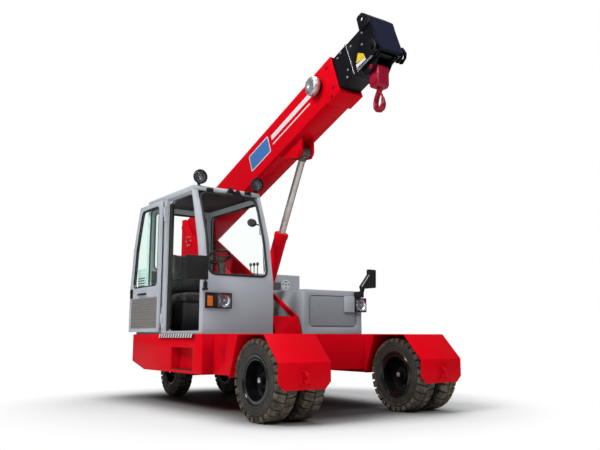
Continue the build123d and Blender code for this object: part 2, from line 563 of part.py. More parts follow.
def cab():
    """Cab shell with its openings, roof and fixed panes."""
    front = [(FRONT_X, CAB_BOTTOM)] + FRONT_LINE
    inner = inset(front[::-1], CAB_WALL)[::-1]
    rear_in = CAB_REAR_X + CAB_WALL
    outside = front + [(CAB_REAR_X, SHELL_TOP), (CAB_REAR_X, CAB_BOTTOM)]
    inside = [(inner[0][0], FLOOR_Z)] + inner[1:-1] + [(inner[-1][0] + 40, SHELL_TOP + 60), (rear_in, SHELL_TOP + 60), (rear_in, FLOOR_Z)]
    shell = plate_xz(outside, CAB_RIGHT, CAB_LEFT)
    shell -= plate_xz(inside, CAB_RIGHT + CAB_WALL, CAB_LEFT - CAB_WALL)
    seat_y = CAB_RIGHT + DOOR_THICK + CLEAR
    recess = grown(door_outline(), DOOR_MARGIN)
    ring = plate_xz(grown(recess, CAB_WALL), CAB_RIGHT + CAB_WALL - 1, seat_y + DOOR_RING)
    shell += ring & plate_xz(outside, CAB_RIGHT, CAB_LEFT)
    shell -= plate_xz(recess, CAB_RIGHT - 1, seat_y)
    shell -= plate_xz(doorway(), seat_y - 1, seat_y + DOOR_RING + 1, WINDOW_R * 0.6)
    quarter = rectangle(QUARTER_X0, QUARTER_X1, WINDOW_Z0, WINDOW_Z1)
    shell -= plate_xz(quarter, CAB_RIGHT - 1, CAB_RIGHT + CAB_WALL + 1, WINDOW_R)
    shell -= plate_xz(left_window(), CAB_LEFT - CAB_WALL - 1, CAB_LEFT + 1, WINDOW_R)
    back = rectangle(CAB_RIGHT + 80, CAB_LEFT - 80, REAR_WINDOW_Z0, WINDOW_Z1)
    shell -= plate_yz(back, CAB_REAR_X - 1, rear_in + 1, WINDOW_R)
    screen = rectangle(CAB_RIGHT + SCREEN_SIDE, CAB_LEFT - SCREEN_SIDE, SCREEN_Z0, SCREEN_Z1)
    shell -= plate_yz(screen, FRONT_X - 380, FRONT_X + 10, SCREEN_R)
    for z in HINGE_ZS:
        for z0, z1 in ((z - HINGE_LEAF, z - HINGE_LEAF / 2 - 1), (z + HINGE_LEAF / 2 + 1, z + HINGE_LEAF)):
            shell += drum_z(HINGE_X, HINGE_Y, HINGE_R, z0, z1)
            shell += block(HINGE_X - 30, HINGE_X + 20, HINGE_Y + 1, CAB_RIGHT + 1, z0, z1)
        shell += drum_z(HINGE_X, HINGE_Y, HINGE_PIN_R, z - HINGE_LEAF + 5, z + HINGE_LEAF - 5)
    roof = rectangle(CAB_REAR_X - 4, FRONT_LINE[-1][0] - 2, CAB_RIGHT - 2, CAB_LEFT + 2)
    top = plate_xy(roof, SHELL_TOP, CAB_ROOF_Z)
    top = chamfer(top.edges().group_by(Axis.Z)[-1], 14)
    line = [(FRONT_LINE[0][0] - 8, SCREEN_Z0 - 8)] + [(x - 8, z) for x, z in FRONT_LINE[1:]]
    glass = plate_xz(bent(line[::-1], GLASS), CAB_RIGHT + SCREEN_SIDE + SEAT, CAB_LEFT - SCREEN_SIDE - SEAT)
    glass &= plate_yz(grown(screen, -SEAT), FRONT_X - 380, FRONT_X + 10, SCREEN_R)
    right_y, left_y = CAB_RIGHT + 12, CAB_LEFT - 12 - GLASS
    return {
        "cab_shell": shell, "cab_roof": top, "windscreen": glass,
        "glass_quarter": plate_xz(quarter, right_y, right_y + GLASS, WINDOW_R),
        "glass_left": plate_xz(left_window(), left_y, left_y + GLASS, WINDOW_R),
        "glass_rear": plate_yz(back, CAB_REAR_X + 10, CAB_REAR_X + 10 + GLASS, WINDOW_R),
    }


def cab_interior():
    """Seat, steering column and wheel, and the lever console."""
    y0, y1 = SEAT_Y - SEAT_WIDTH / 2, SEAT_Y + SEAT_WIDTH / 2
    back_x = SEAT_FRONT_X - SEAT_DEPTH
    cushion_z = FLOOR_Z + SEAT_HEIGHT
    base = block(back_x + 20, SEAT_FRONT_X - 50, y0 + 20, y1 - 20, FLOOR_Z, cushion_z - 120 - SEAT)
    seat = block(back_x, SEAT_FRONT_X, y0, y1, cushion_z - 120, cushion_z)
    top_z = cushion_z + BACKREST_HEIGHT
    seat += plate_xz([(back_x, cushion_z), (back_x + 100, cushion_z), (back_x + 70, top_z), (back_x - 12, top_z)], y0, y1)
    column = plate_xz([(-1290, FLOOR_Z), (-1170, FLOOR_Z), (-1340, WHEEL_Z - 40), (-1385, WHEEL_Z - 40)], WHEEL_Y - 40, WHEEL_Y + 40)
    rake = 28.0
    wheel = Torus(WHEEL_R, 13) + Cylinder(38, 26)
    for k in range(3):
        wheel += Rot(0, 0, 90 + 120 * k) * Pos(WHEEL_R / 2, 0, 0) * Box(WHEEL_R, 18, 8)
    wheel += Pos(0, 0, -45) * Cylinder(16, 90)
    column += Pos(WHEEL_X, WHEEL_Y, WHEEL_Z) * Rot(0, -rake, 0) * wheel
    console = block(-1330, -1125, -420, CAB_LEFT - CAB_WALL - 20, FLOOR_Z, 1330)
    for k in range(3):
        console += drum_z(-1280 + 55 * k, -340 + 10 * k, 5, 1330, 1480) + Pos(-1280 + 55 * k, -340 + 10 * k, 1490) * Sphere(14)
    return {"seat_base": base, "seat": seat, "steering": column, "console": console}


def folded(points):
    """Outline of a piece of the closed door with the door swung back half a turn."""
    return [(2 * HINGE_X - x, z) for x, z in points]


def cab_door():
    """Door folded back along the cab side, with its window, louvres, handle, latch and hinges."""
    inner_y = HINGE_Y - HINGE_OUT
    outer_y = inner_y - DOOR_THICK
    window = door_window()
    door = plate_xz(folded(door_outline()), outer_y, inner_y)
    door -= plate_xz(folded(window), outer_y - 1, inner_y + 1, WINDOW_R)
    x0, x1 = HINGE_X + DOOR_BACK + 34, HINGE_X + DOOR_BACK + DOOR_WIDTH - 56
    louvre = folded(rectangle(x0, x1, LOUVRE_Z0, LOUVRE_Z1))
    door -= plate_xz(louvre, outer_y - 1, outer_y + 14)
    left, right = min(p[0] for p in louvre), max(p[0] for p in louvre)
    pitch = (LOUVRE_Z1 - LOUVRE_Z0) / LOUVRE_COUNT
    for k in range(LOUVRE_COUNT):
        z = LOUVRE_Z0 + k * pitch
        blade = [(outer_y + 14, z + pitch * 0.95), (outer_y + 14, z + pitch * 0.55), (outer_y + 1, z + pitch * 0.05),
                 (outer_y + 1, z + pitch * 0.35)]
        door += plate_yz(blade, left, right)
    handle_x = 2 * HINGE_X - (HINGE_X + DOOR_BACK) - 430
    door += block(handle_x - 130, handle_x + 130, outer_y - 6, outer_y, 1182, 1224)
    door += block(handle_x - 100, handle_x + 100, outer_y - 30, outer_y - 18, 1196, 1214)
    for dx in (-94, 94):
        door += block(handle_x + dx - 8, handle_x + dx + 8, outer_y - 30, outer_y - 6, 1196, 1214)
    edge_x = 2 * HINGE_X - (HINGE_X + DOOR_BACK + DOOR_WIDTH)
    door += block(edge_x + 44, edge_x + 94, outer_y - 14, outer_y, 1172, 1276)
    for z in HINGE_ZS:
        z0, z1 = z - HINGE_LEAF / 2, z + HINGE_LEAF / 2
        door += block(HINGE_X - 100, HINGE_X - DOOR_BACK - 4, inner_y - 1, inner_y + 6, z0, z1)
        door += block(HINGE_X - DOOR_BACK - 5, HINGE_X, inner_y + 2, inner_y + 6, z0, z1)
        door += drum_z(HINGE_X, HINGE_Y, HINGE_R, z0, z1)
        door -= drum_z(HINGE_X, HINGE_Y, HINGE_PIN_R + RUNNING, z0 - 1, z1 + 1)
    glass = plate_xz(folded(window), inner_y - 20, inner_y - 20 + GLASS, WINDOW_R)
    return {"cab_door": door, "door_glass": glass}


def hollow(s0, s1, half, bottom, top, wall):
    """Square tube along the boom, open at both ends."""
    tube = block(s0, s1, -half, half, bottom, top)
    return tube - block(s0 - 1, s1 + 1, wall - half, half - wall, bottom + wall, top - wall)


def boom():
    """Boom base with its collar, pivot and cylinder ears, and the two stages inside it."""
    base = hollow(BOOM_REAR_S, BOOM_END_S, BOOM_HALF, BOOM_BOTTOM, BOOM_TOP, BOOM_WALL)
    collar = plate_xz([(COLLAR_TOP_S, BOOM_TOP + COLLAR_PROUD), (COLLAR_TOP_S + 60, BOOM_BOTTOM), (COLLAR_LOW_S, BOOM_BOTTOM - COLLAR_DROP),
                       (BOOM_END_S, BOOM_BOTTOM - COLLAR_DROP), (BOOM_END_S, BOOM_TOP + COLLAR_PROUD)],
                      -BOOM_HALF - COLLAR_PROUD, BOOM_HALF + COLLAR_PROUD)
    hole = BOOM_HALF - BOOM_WALL
    collar -= block(COLLAR_TOP_S - 5, BOOM_END_S + 5, -hole, hole, BOOM_BOTTOM + BOOM_WALL, BOOM_TOP - BOOM_WALL)
    base += collar
    base += block(BOOM_REAR_S, BOOM_REAR_S + 10, -BOOM_HALF, BOOM_HALF, BOOM_BOTTOM, BOOM_TOP)
    base += drum_y(0, 0, PIVOT_PIN_R + 45, -BOOM_HALF, BOOM_HALF)
    base -= drum_y(0, 0, PIVOT_PIN_R + RUNNING, -BOOM_HALF - 1, BOOM_HALF + 1)
    ear = plate_xz([(EYE_S - 330, BOOM_BOTTOM), (EYE_S - 70, EYE_T - 40), (EYE_S, EYE_T - 72), (EYE_S + 66, EYE_T - 30),
                    (EYE_S + 120, BOOM_BOTTOM)], EAR_GAP, EAR_GAP + EAR_THICK)
    ear += drum_y(EYE_S, EYE_T, PIN_R + 14, EAR_GAP + EAR_THICK, EAR_GAP + EAR_THICK + 16)
    base += both_sides(ear)
    half_1 = hole - STAGE_GAP
    top_1, bottom_1 = BOOM_TOP - BOOM_WALL - STAGE_TOP_GAP, BOOM_BOTTOM + BOOM_WALL + STAGE_GAP
    stage_1 = hollow(STAGE_REAR_S, FLANGE_S + FLANGE_THICK, half_1, bottom_1, top_1, STAGE_WALL)
    flange_half = HEAD_HALF + 3
    flange = block(FLANGE_S, FLANGE_S + FLANGE_THICK, -flange_half, flange_half, HEAD_BOTTOM, HEAD_TOP + FLANGE_PROUD)
    bore_1 = half_1 - STAGE_WALL
    stage_1 += flange - block(FLANGE_S - 1, HEAD_S, -bore_1, bore_1, bottom_1 + STAGE_WALL, top_1 - STAGE_WALL)
    for s in (STAGE_REAR_S + 20, BOOM_END_S - 120):
        stage_1 += block(s, s + PAD_LENGTH, -half_1, half_1, top_1, BOOM_TOP - BOOM_WALL - PAD_GAP)
        stage_1 += block(s, s + PAD_LENGTH, -half_1, half_1, BOOM_BOTTOM + BOOM_WALL + PAD_GAP, bottom_1)
    half_2 = bore_1 - STAGE_GAP
    top_2, bottom_2 = top_1 - STAGE_WALL - STAGE_TOP_GAP, bottom_1 + STAGE_WALL + STAGE_GAP
    stage_2 = hollow(STAGE_REAR_S + 40, HEAD_S, half_2, bottom_2, top_2, STAGE_WALL)
    for s in (STAGE_REAR_S + 60, FLANGE_S - 120):
        stage_2 += block(s, s + PAD_LENGTH, -half_2, half_2, top_2, top_1 - STAGE_WALL - PAD_GAP)
        stage_2 += block(s, s + PAD_LENGTH, -half_2, half_2, bottom_1 + STAGE_WALL + PAD_GAP, bottom_2)
    reel = drum_y(REEL_S, REEL_T, REEL_R, -BOOM_HALF - 40 - REEL_WIDTH, -BOOM_HALF - 40)
    reel += drum_y(REEL_S, REEL_T, REEL_R * 0.85, -BOOM_HALF - 40, -BOOM_HALF - COLLAR_PROUD)
    return {"boom_base": on_boom(base), "boom_stage_1": on_boom(stage_1), "boom_stage_2": on_boom(stage_2),
            "cable_reel": on_boom(reel)}


def lug(outline, eye, y0, y1):
    """Holed lug on the boom head."""
    return plate_xz(outline, y0, y1) - drum_y(eye[0], eye[1], EYE_R, y0 - 1, y1 + 1)


def boom_head():
    """Box head with a nose plate, lugs for attachments and cheeks for the hook's pin."""
    end = HEAD_S + HEAD_LENGTH
    head = block(HEAD_S, end - 14, -HEAD_HALF, HEAD_HALF, HEAD_BOTTOM, HEAD_TOP)
    inner = HEAD_HALF - HEAD_PLATE
    head -= block(HEAD_S + HEAD_PLATE, end - 13, -inner, inner, HEAD_BOTTOM + 14, HEAD_TOP - 14)
    head -= block(HOOK_PIN_S - 95, HOOK_PIN_S + 95, 6 - CHEEK_HALF, CHEEK_HALF - 6, HEAD_BOTTOM - 1, HEAD_BOTTOM + 15)
    nose_half = HEAD_HALF + NOSE_PROUD
    head += block(end - 14, end - 14 + NOSE_THICK, -nose_half, nose_half, HEAD_BOTTOM + 8, HEAD_TOP - 4)
    x, z = HOOK_PIN_S, HOOK_PIN_T
    cheek = plate_xz([(x - 125, HEAD_BOTTOM), (x - 87, z - 44), (x + 11, z - 44), (x + 105, z + 20), (x + 180, HEAD_BOTTOM),
                      (x + 180, HEAD_BOTTOM + 5), (x - 125, HEAD_BOTTOM + 5)], CHEEK_HALF, CHEEK_HALF + 16)
    cheek -= drum_y(HOOK_PIN_S, HOOK_PIN_T, HOOK_PIN_R + RUNNING, 0, 200)
    x, z = UPPER_EYE
    upper = lug([(x - 67, z - 82), (x - 57, z + 48), (x - 32, z + 62), (x + 28, z + 56), (x + 101, z - 52), (x + 101, z - 112),
                 (x - 47, z - 112)], UPPER_EYE, HEAD_HALF, HEAD_HALF + 16)
    visor = plate_xz([(x + 28, z + 56), (x + 101, z - 52), (x + 101, z - 76), (x + 14, z + 56)], -HEAD_HALF - 1, HEAD_HALF + 1)
    head += visor
    x, z = LOWER_EYE
    lower = lug([(x - 60, z + 30), (x - 60, z - 34), (x - 30, z - 56), (x + 32, z - 34), (x + 56, z + 10), (x + 38, z + 90),
                 (x - 30, z + 110)], LOWER_EYE, HEAD_HALF, HEAD_HALF + 16)
    twin = lug([(x - 60, z + 30), (x - 60, z - 34), (x - 30, z - 56), (x + 32, z - 34), (x + 56, z + 10), (x + 38, z + 90),
                (x - 30, z + 110)], LOWER_EYE, HEAD_HALF + 44, HEAD_HALF + 60)
    bridge = block(x + 14, x + 36, HEAD_HALF + 10, HEAD_HALF + 50, z + 34, z + 84)
    for piece in (cheek, upper, lower, twin, bridge):
        head += both_sides(piece)
    head -= drum_y(LOWER_EYE[0], LOWER_EYE[1], EYE_R, -HEAD_HALF - 61, HEAD_HALF + 61)
    return {"boom_head": on_boom(head)}


def hook_gear():
    """Hook block hanging from its pin, and the swivelling hook."""
    top = HOOK_Z + 20
    body = block(HOOK_X - BLOCK_LENGTH / 2, HOOK_X + BLOCK_LENGTH / 2, -BLOCK_WIDTH / 2, BLOCK_WIDTH / 2, top - BLOCK_HEIGHT, top)
    body = chamfer(body.edges().filter_by(Axis.Y), 22)
    body += drum_y(HOOK_X, HOOK_Z, HOOK_PIN_R, -CHEEK_HALF - 22, CHEEK_HALF + 22)
    for s in (-1, 1):
        body += drum_y(HOOK_X, HOOK_Z - 112, 50, s * BLOCK_WIDTH / 2, s * (BLOCK_WIDTH / 2 + 12))
    body -= drum_z(HOOK_X, 0, SHANK_R + RUNNING, SHANK_Z - 1, SHANK_Z + 75)
    shank = drum_z(HOOK_X, 0, SHANK_R, BOWL_Z + BOWL_R - 2, SHANK_Z + 70)
    shank += drum_z(HOOK_X, 0, 30, SHANK_Z - 30, SHANK_Z - 5)
    bowl = Pos(HOOK_X, 0, BOWL_Z) * Rot(90, 0, 0) * Rot(0, 0, 90) * Torus(BOWL_R, BOWL_BAR_R, major_angle=270 + TIP_RISE)
    rise = math.radians(TIP_RISE)
    tip_x, tip_z = HOOK_X + BOWL_R * math.cos(rise), BOWL_Z + BOWL_R * math.sin(rise)
    bowl += Pos(tip_x, 0, tip_z) * Rot(0, -TIP_RISE, 0) * Pos(0, 0, 15) * Cone(BOWL_BAR_R, 8, 30)
    return {"hook_block": body, "hook": shank + bowl}


def lift_cylinder():
    """Barrel on the foot pin, and the rod that reaches up to the boom's ears."""
    inside = BARREL_R - BARREL_WALL
    barrel = drum_x(0, 0, BARREL_R, 60, BARREL_LENGTH) - drum_x(0, 0, inside, 90, BARREL_LENGTH - 60)
    barrel += drum_x(0, 0, BARREL_R + 6, BARREL_LENGTH - 55, BARREL_LENGTH - 12)
    barrel -= drum_x(0, 0, ROD_R + 1, BARREL_LENGTH - 70, BARREL_LENGTH + 1)
    barrel += drum_y(0, 0, PIN_R + 36, -40, 40) + block(20, 90, -40, 40, -50, 50)
    barrel -= drum_y(0, 0, PIN_R + RUNNING, -50, 50)
    tail = CYL_LENGTH - ROD_LENGTH
    rod = drum_x(0, 0, ROD_R, tail, CYL_LENGTH - 40)
    rod += drum_x(0, 0, inside - 1, tail, tail + PISTON_LENGTH)
    rod += drum_y(CYL_LENGTH, 0, PIN_R + 28, -EAR_GAP + 12, EAR_GAP - 12)
    return {"lift_barrel": on_cylinder(barrel), "lift_rod": on_cylinder(rod)}


def rear_axle():
    """Beam under the tail with its knuckles and small steered wheels."""
    z = REAR_R
    beam = block(REAR_X - AXLE_HALF, REAR_X + AXLE_HALF, 25 - KING_Y, KING_Y - 25, z - KING_HALF, z + KING_HALF)
    beam += block(REAR_X - AXLE_HALF - 10, REAR_X + AXLE_HALF + 10, 70 - KING_Y, KING_Y - 70, z - 55, z + 55)
    beam += block(REAR_X - 2 * AXLE_HALF, REAR_X + 2 * AXLE_HALF, -110, 110, z + 55, TAIL_BOTTOM)
    for y in (-KING_Y, KING_Y):
        beam += drum_z(REAR_X, y, KING_BOSS_R, z - KING_HALF, z + KING_HALF)
        beam -= drum_z(REAR_X, y, KING_R + RUNNING, z - 100, z + 100)
    nodes = {"rear_axle_beam": beam}
    yoke_in, yoke_out = KING_HALF + 6, KING_HALF + 47
    for side, sign in (("right", -1), ("left", 1)):
        y, wheel_y = sign * KING_Y, sign * REAR_TRACK / 2
        knuckle = drum_z(REAR_X, y, KING_R, z - yoke_out, z + yoke_out)
        for up in (-1, 1):
            knuckle += drum_z(REAR_X, y, KING_BOSS_R, z + up * yoke_in, z + up * yoke_out)
            knuckle += block(REAR_X - AXLE_HALF, REAR_X + AXLE_HALF, y, y + sign * 56, z + up * yoke_in, z + up * yoke_out)
        knuckle += block(REAR_X - AXLE_HALF, REAR_X + AXLE_HALF, y + sign * 42, y + sign * 56, z - yoke_out, z + yoke_out)
        knuckle += drum_y(REAR_X, z, REAR_STUB_R, y + sign * 44, wheel_y + sign * 30)
        nodes[f"rear_knuckle_{side}"] = knuckle
        nodes[f"rear_tyre_{side}"] = tyre(REAR_R, REAR_TYRE_WIDTH, REAR_RIM_R, REAR_X, wheel_y)
        half = REAR_TYRE_WIDTH / 2
        band = [(REAR_RIM_R - 10, 4 - half), (REAR_RIM_R + 4, 4 - half), (REAR_RIM_R, 12 - half), (REAR_RIM_R, half - 12),
                (REAR_RIM_R + 4, half - 4), (REAR_RIM_R - 10, half - 4)]
        rim = turned(band, REAR_X, z, wheel_y)
        rim += drum_y(REAR_X, z, REAR_RIM_R - 6, wheel_y - 8, wheel_y + 8)
        rim += drum_y(REAR_X, z, 60, wheel_y - sign * 20, wheel_y + sign * 50)
        rim -= drum_y(REAR_X, z, REAR_STUB_R + RUNNING, y, wheel_y + sign * 31)
        nodes[f"rear_rim_{side}"] = rim
    return nodes


def lamp_box(x0, depth, y0, y1, z0, z1, wall):
    """Rectangular lamp housing with a shallow recess for its lens."""
    shape = block(x0, x0 + depth, y0, y1, z0, z1)
    return shape - block(x0 + depth - 10, x0 + depth + 1, y0 + wall, y1 - wall, z0 + wall, z1 - wall)


def lamps_and_mirrors():
    """Headlamps, round work lamps on the roof and the two mirrors on their arms."""
    right = lamp_box(FRONT_X, 36, -1004, -716, 1003, 1158, 8)
    left = lamp_box(BOX_FRONT_X, 64, 880, 1040, 1000, 1160, 9) + block(BOX_FRONT_X, BOX_FRONT_X + 46, 755, 880, 996, 1176)
    nodes = {"headlamp_right": right, "headlamp_left": left}
    lamp_x = FRONT_LINE[-1][0] - 30
    for side, y in LAMP_YS.items():
        lamp = drum_x(y, LAMP_Z, LAMP_R, lamp_x, lamp_x + LAMP_DEPTH * 0.6)
        cone = Pos(lamp_x - LAMP_DEPTH * 0.2, y, LAMP_Z) * Rot(0, 90, 0) * Cone(LAMP_R * 0.5, LAMP_R, LAMP_DEPTH * 0.4)
        lamp += cone
        lamp -= drum_x(y, LAMP_Z, LAMP_R - 8, lamp_x + LAMP_DEPTH * 0.6 - 8, lamp_x + LAMP_DEPTH)
        foot_x = lamp_x + 5
        lamp += block(foot_x - 14, foot_x + 14, y - 18, y + 18, CAB_ROOF_Z - 0.0, LAMP_Z - LAMP_R + 6)
        nodes[f"work_lamp_{side}"] = lamp
    inner = -1012.0
    face_right = plate_yz(rectangle(inner - MIRROR_SIZE, inner, 1277, 1277 + MIRROR_SIZE), -1004, -1004 + MIRROR_THICK, 14)
    face_right += drum_z(-990, -1030, 9, 1176, 1290) + block(FRONT_X, -981, -1040, CAB_RIGHT + 25, 1176, 1200)
    face_right += block(-1010, -975, -1046, -1012, 1200, 1262)
    nodes["mirror_right"] = face_right
    back = BOX_FRONT_X + 40
    face_left = plate_yz([(1017, 1268), (1176, 1283), (1181, 1496), (1064, 1498), (1063, 1436), (945, 1290), (958, 1255)],
                         back, back + MIRROR_THICK, 8)
    face_left += plate_yz([(950, 1220), (1003, 1220), (1020, 1275), (960, 1275)], back + 4, back + 28)
    face_left += block(BOX_FRONT_X, back + 28, 905, 1003, 1166, 1228)
    nodes["mirror_left"] = face_left
    return nodes


def all_nodes():
    """Every named piece of the crane."""
    nodes = {}
    for group in (front_wheels, front_arms, chassis, tower, bodywork, cab, cab_interior, cab_door, boom, boom_head, hook_gear,
                  lift_cylinder, rear_axle, lamps_and_mirrors):
        nodes.update(group())
    return nodes


NODES = all_nodes()
LIMITS = [shape.bounding_box() for shape in NODES.values()]
X_MIDDLE = -round((min(b.min.X for b in LIMITS) + max(b.max.X for b in LIMITS)) / 2)
Y_MIDDLE = -round((min(b.min.Y for b in LIMITS) + max(b.max.Y for b in LIMITS)) / 2)

os.makedirs("parts", exist_ok=True)
for node, piece in NODES.items():
    export_step(Pos(X_MIDDLE, Y_MIDDLE, 0) * piece, f"parts/{node}.step")
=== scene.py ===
"""Dresses the pick and carry crane: finishes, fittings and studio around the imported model."""

import logging
import math
from collections.abc import Iterable, Sequence
from dataclasses import dataclass, field
from enum import Enum
from typing import Any

import bmesh
import bpy
from mathutils import Matrix, Vector


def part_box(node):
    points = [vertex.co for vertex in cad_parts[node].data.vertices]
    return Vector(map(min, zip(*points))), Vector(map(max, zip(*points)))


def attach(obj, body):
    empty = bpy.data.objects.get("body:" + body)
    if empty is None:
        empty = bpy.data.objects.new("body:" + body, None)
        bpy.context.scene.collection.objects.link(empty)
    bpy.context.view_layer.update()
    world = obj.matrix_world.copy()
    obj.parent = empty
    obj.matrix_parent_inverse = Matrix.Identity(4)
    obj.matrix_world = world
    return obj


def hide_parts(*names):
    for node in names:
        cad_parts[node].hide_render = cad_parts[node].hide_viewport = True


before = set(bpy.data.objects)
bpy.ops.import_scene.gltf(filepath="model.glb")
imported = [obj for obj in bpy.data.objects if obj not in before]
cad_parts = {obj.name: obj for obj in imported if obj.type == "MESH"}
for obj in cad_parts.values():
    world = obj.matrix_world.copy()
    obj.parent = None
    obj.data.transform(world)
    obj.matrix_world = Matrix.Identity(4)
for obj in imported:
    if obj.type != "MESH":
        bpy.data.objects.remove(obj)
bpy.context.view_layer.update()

LOG = logging.getLogger("crane")
Point = tuple[float, float, float]
Flat = tuple[float, float]
Colour = tuple[float, float, float]


def front_axle() -> Vector:
    """Point on the ground, in metres, below the middle of the front axle."""
    low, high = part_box("front_tyre_right_outer")[0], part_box("front_tyre_left_outer")[1]
    return Vector(((low.x + high.x) / 2, (low.y + high.y) / 2, 0))


# Sizes here are in millimetres, counted from the front axle, the centre plane and the ground.
LAYOUT = Matrix.Translation(front_axle()) @ Matrix.Scale(0.001, 4)
BOOM_RISE, CYLINDER_RISE = 20.9, 62.4689
BOOM = LAYOUT @ Matrix.Translation((-3170, 0, 1977)) @ Matrix.Rotation(math.radians(-BOOM_RISE), 4, "Y")
CYLINDER = LAYOUT @ Matrix.Translation((-1930, 0, 426)) @ Matrix.Rotation(math.radians(-CYLINDER_RISE), 4, "Y")


class Slot(Enum):
    """Material slots of the record."""

    RED = "red_paint"
    GREY = "grey_paint"
    CAB = "cab_paint"
    BLACK = "black_steel"
    HOOK = "hook_red"
    TYRE = "tyre"
    GLASS = "glass"
    PLASTIC = "black_plastic"
    STEEL = "bare_steel"


class Axis(Enum):
    """The axis that a flat outline is pushed along, with the two axes that it is drawn on."""

    X = (1, 2, 0)
    Y = (0, 2, 1)
    Z = (0, 1, 2)


def add(tree: bpy.types.NodeTree, kind: str, values: dict[Any, Any] | None = None, **settings: Any) -> bpy.types.Node:
    """Adds one node to a tree.

    Args:
        tree: The tree that gets the node.
        kind: The node's type.
        values: Input sockets by name or number, each with a value or a socket to link.
        **settings: Properties of the node itself.

    Returns:
        The new node.
    """
    made = tree.nodes.new(kind)
    for name, value in settings.items():
        setattr(made, name, value)
    for socket, value in (values or {}).items():
        if isinstance(value, bpy.types.NodeSocket):
            tree.links.new(value, made.inputs[socket])
        else:
            made.inputs[socket].default_value = value
    return made


class Effects:
    """Shader node groups that several finishes share."""

    _made: dict[str, bpy.types.NodeTree] = {}

    @classmethod
    def _start(cls, name: str, inputs: dict[str, Any], outputs: dict[str, str]) -> tuple[Any, Any, Any]:
        """Opens a group with its sockets.

        Args:
            name: The group's name.
            inputs: Input names, each with its default number, or None for a vector.
            outputs: Output names, each with its socket type.

        Returns:
            The tree, its input node and its output node.
        """
        tree = bpy.data.node_groups.new(name, "ShaderNodeTree")
        for label, value in inputs.items():
            kind = "NodeSocketVector" if value is None else "NodeSocketFloat"
            socket = tree.interface.new_socket(name=label, in_out="INPUT", socket_type=kind)
            if value is not None:
                socket.default_value = value
        for label, kind in outputs.items():
            tree.interface.new_socket(name=label, in_out="OUTPUT", socket_type=kind)
        cls._made[name] = tree
        return tree, add(tree, "NodeGroupInput"), add(tree, "NodeGroupOutput")

    @classmethod
    def relief(cls) -> bpy.types.NodeTree:
        """Fine unevenness of a sprayed or cast skin, as a height and a slow tone."""
        if "skin_relief" in cls._made:
            return cls._made["skin_relief"]
        tree, source, sink = cls._start("skin_relief", {"Vector": None, "Grain": 200.0, "Patch": 3.0},
                                        {"Height": "NodeSocketFloat", "Tone": "NodeSocketFloat"})
        fine = add(tree, "ShaderNodeTexNoise", {"Vector": source.outputs["Vector"], "Scale": source.outputs["Grain"],
                                                "Detail": 2.0, "Roughness": 0.5})
        slow = add(tree, "ShaderNodeTexNoise", {"Vector": source.outputs["Vector"], "Scale": source.outputs["Patch"],
                                                "Detail": 4.0, "Roughness": 0.6})
        tree.links.new(fine.outputs["Fac"], sink.inputs["Height"])
        tree.links.new(slow.outputs["Fac"], sink.inputs["Tone"])
        return tree

    @classmethod
    def dust(cls) -> bpy.types.NodeTree:
        """Road dust that thins out with height, as a mask."""
        if "road_dust" in cls._made:
            return cls._made["road_dust"]
        tree, source, sink = cls._start("road_dust", {"Vector": None, "Top": 0.9, "Amount": 0.3, "Spots": 9.0},
                                        {"Mask": "NodeSocketFloat"})
        split = add(tree, "ShaderNodeSeparateXYZ", {"Vector": source.outputs["Vector"]})
        fade = add(tree, "ShaderNodeMapRange", {"Value": split.outputs["Z"], "From Min": 0.0,
                                                "From Max": source.outputs["Top"], "To Min": 1.0, "To Max": 0.0})
        cloud = add(tree, "ShaderNodeTexNoise", {"Vector": source.outputs["Vector"], "Scale": source.outputs["Spots"],
                                                 "Detail": 6.0, "Roughness": 0.65})
        patch = add(tree, "ShaderNodeMapRange", {"Value": cloud.outputs["Fac"], "From Min": 0.42, "From Max": 0.68})
        part = add(tree, "ShaderNodeMath", {0: fade.outputs[0], 1: patch.outputs[0]}, operation="MULTIPLY")
        mask = add(tree, "ShaderNodeMath", {0: part.outputs[0], 1: source.outputs["Amount"]}, operation="MULTIPLY")
        tree.links.new(mask.outputs[0], sink.inputs["Mask"])
        return tree

    @classmethod
    def scratches(cls) -> bpy.types.NodeTree:
        """Long fine marks of handling, as a mask."""
        if "hair_scratches" in cls._made:
            return cls._made["hair_scratches"]
        tree, source, sink = cls._start("hair_scratches", {"Vector": None, "Scale": 14.0, "Amount": 0.2},
                                        {"Mask": "NodeSocketFloat"})
        bend = add(tree, "ShaderNodeTexNoise", {"Vector": source.outputs["Vector"], "Scale": 3.0, "Detail": 2.0})
        lines = add(tree, "ShaderNodeTexVoronoi", {"Vector": bend.outputs["Color"], "Scale": source.outputs["Scale"]},
                    feature="DISTANCE_TO_EDGE")
        thin = add(tree, "ShaderNodeMapRange", {"Value": lines.outputs["Distance"], "From Min": 0.0, "From Max": 0.012,
                                                "To Min": 1.0, "To Max": 0.0})
        mask = add(tree, "ShaderNodeMath", {0: thin.outputs[0], 1: source.outputs["Amount"]}, operation="MULTIPLY")
        tree.links.new(mask.outputs[0], sink.inputs["Mask"])
        return tree

    @classmethod
    def weave(cls) -> bpy.types.NodeTree:
        """Plain cloth weave, as a height."""
        if "plain_weave" in cls._made:
            return cls._made["plain_weave"]
        tree, source, sink = cls._start("plain_weave", {"Vector": None, "Threads": 420.0}, {"Height": "NodeSocketFloat"})
        waves = []
        for direction in ("X", "Y"):
            wave = add(tree, "ShaderNodeTexWave", {"Vector": source.outputs["Vector"], "Scale": source.outputs["Threads"],
                                                   "Distortion": 0.6}, bands_direction=direction)
            waves.append(wave.outputs["Fac"])
        both = add(tree, "ShaderNodeMath", {0: waves[0], 1: waves[1]}, operation="MULTIPLY")
        tree.links.new(both.outputs[0], sink.inputs["Height"])
        return tree


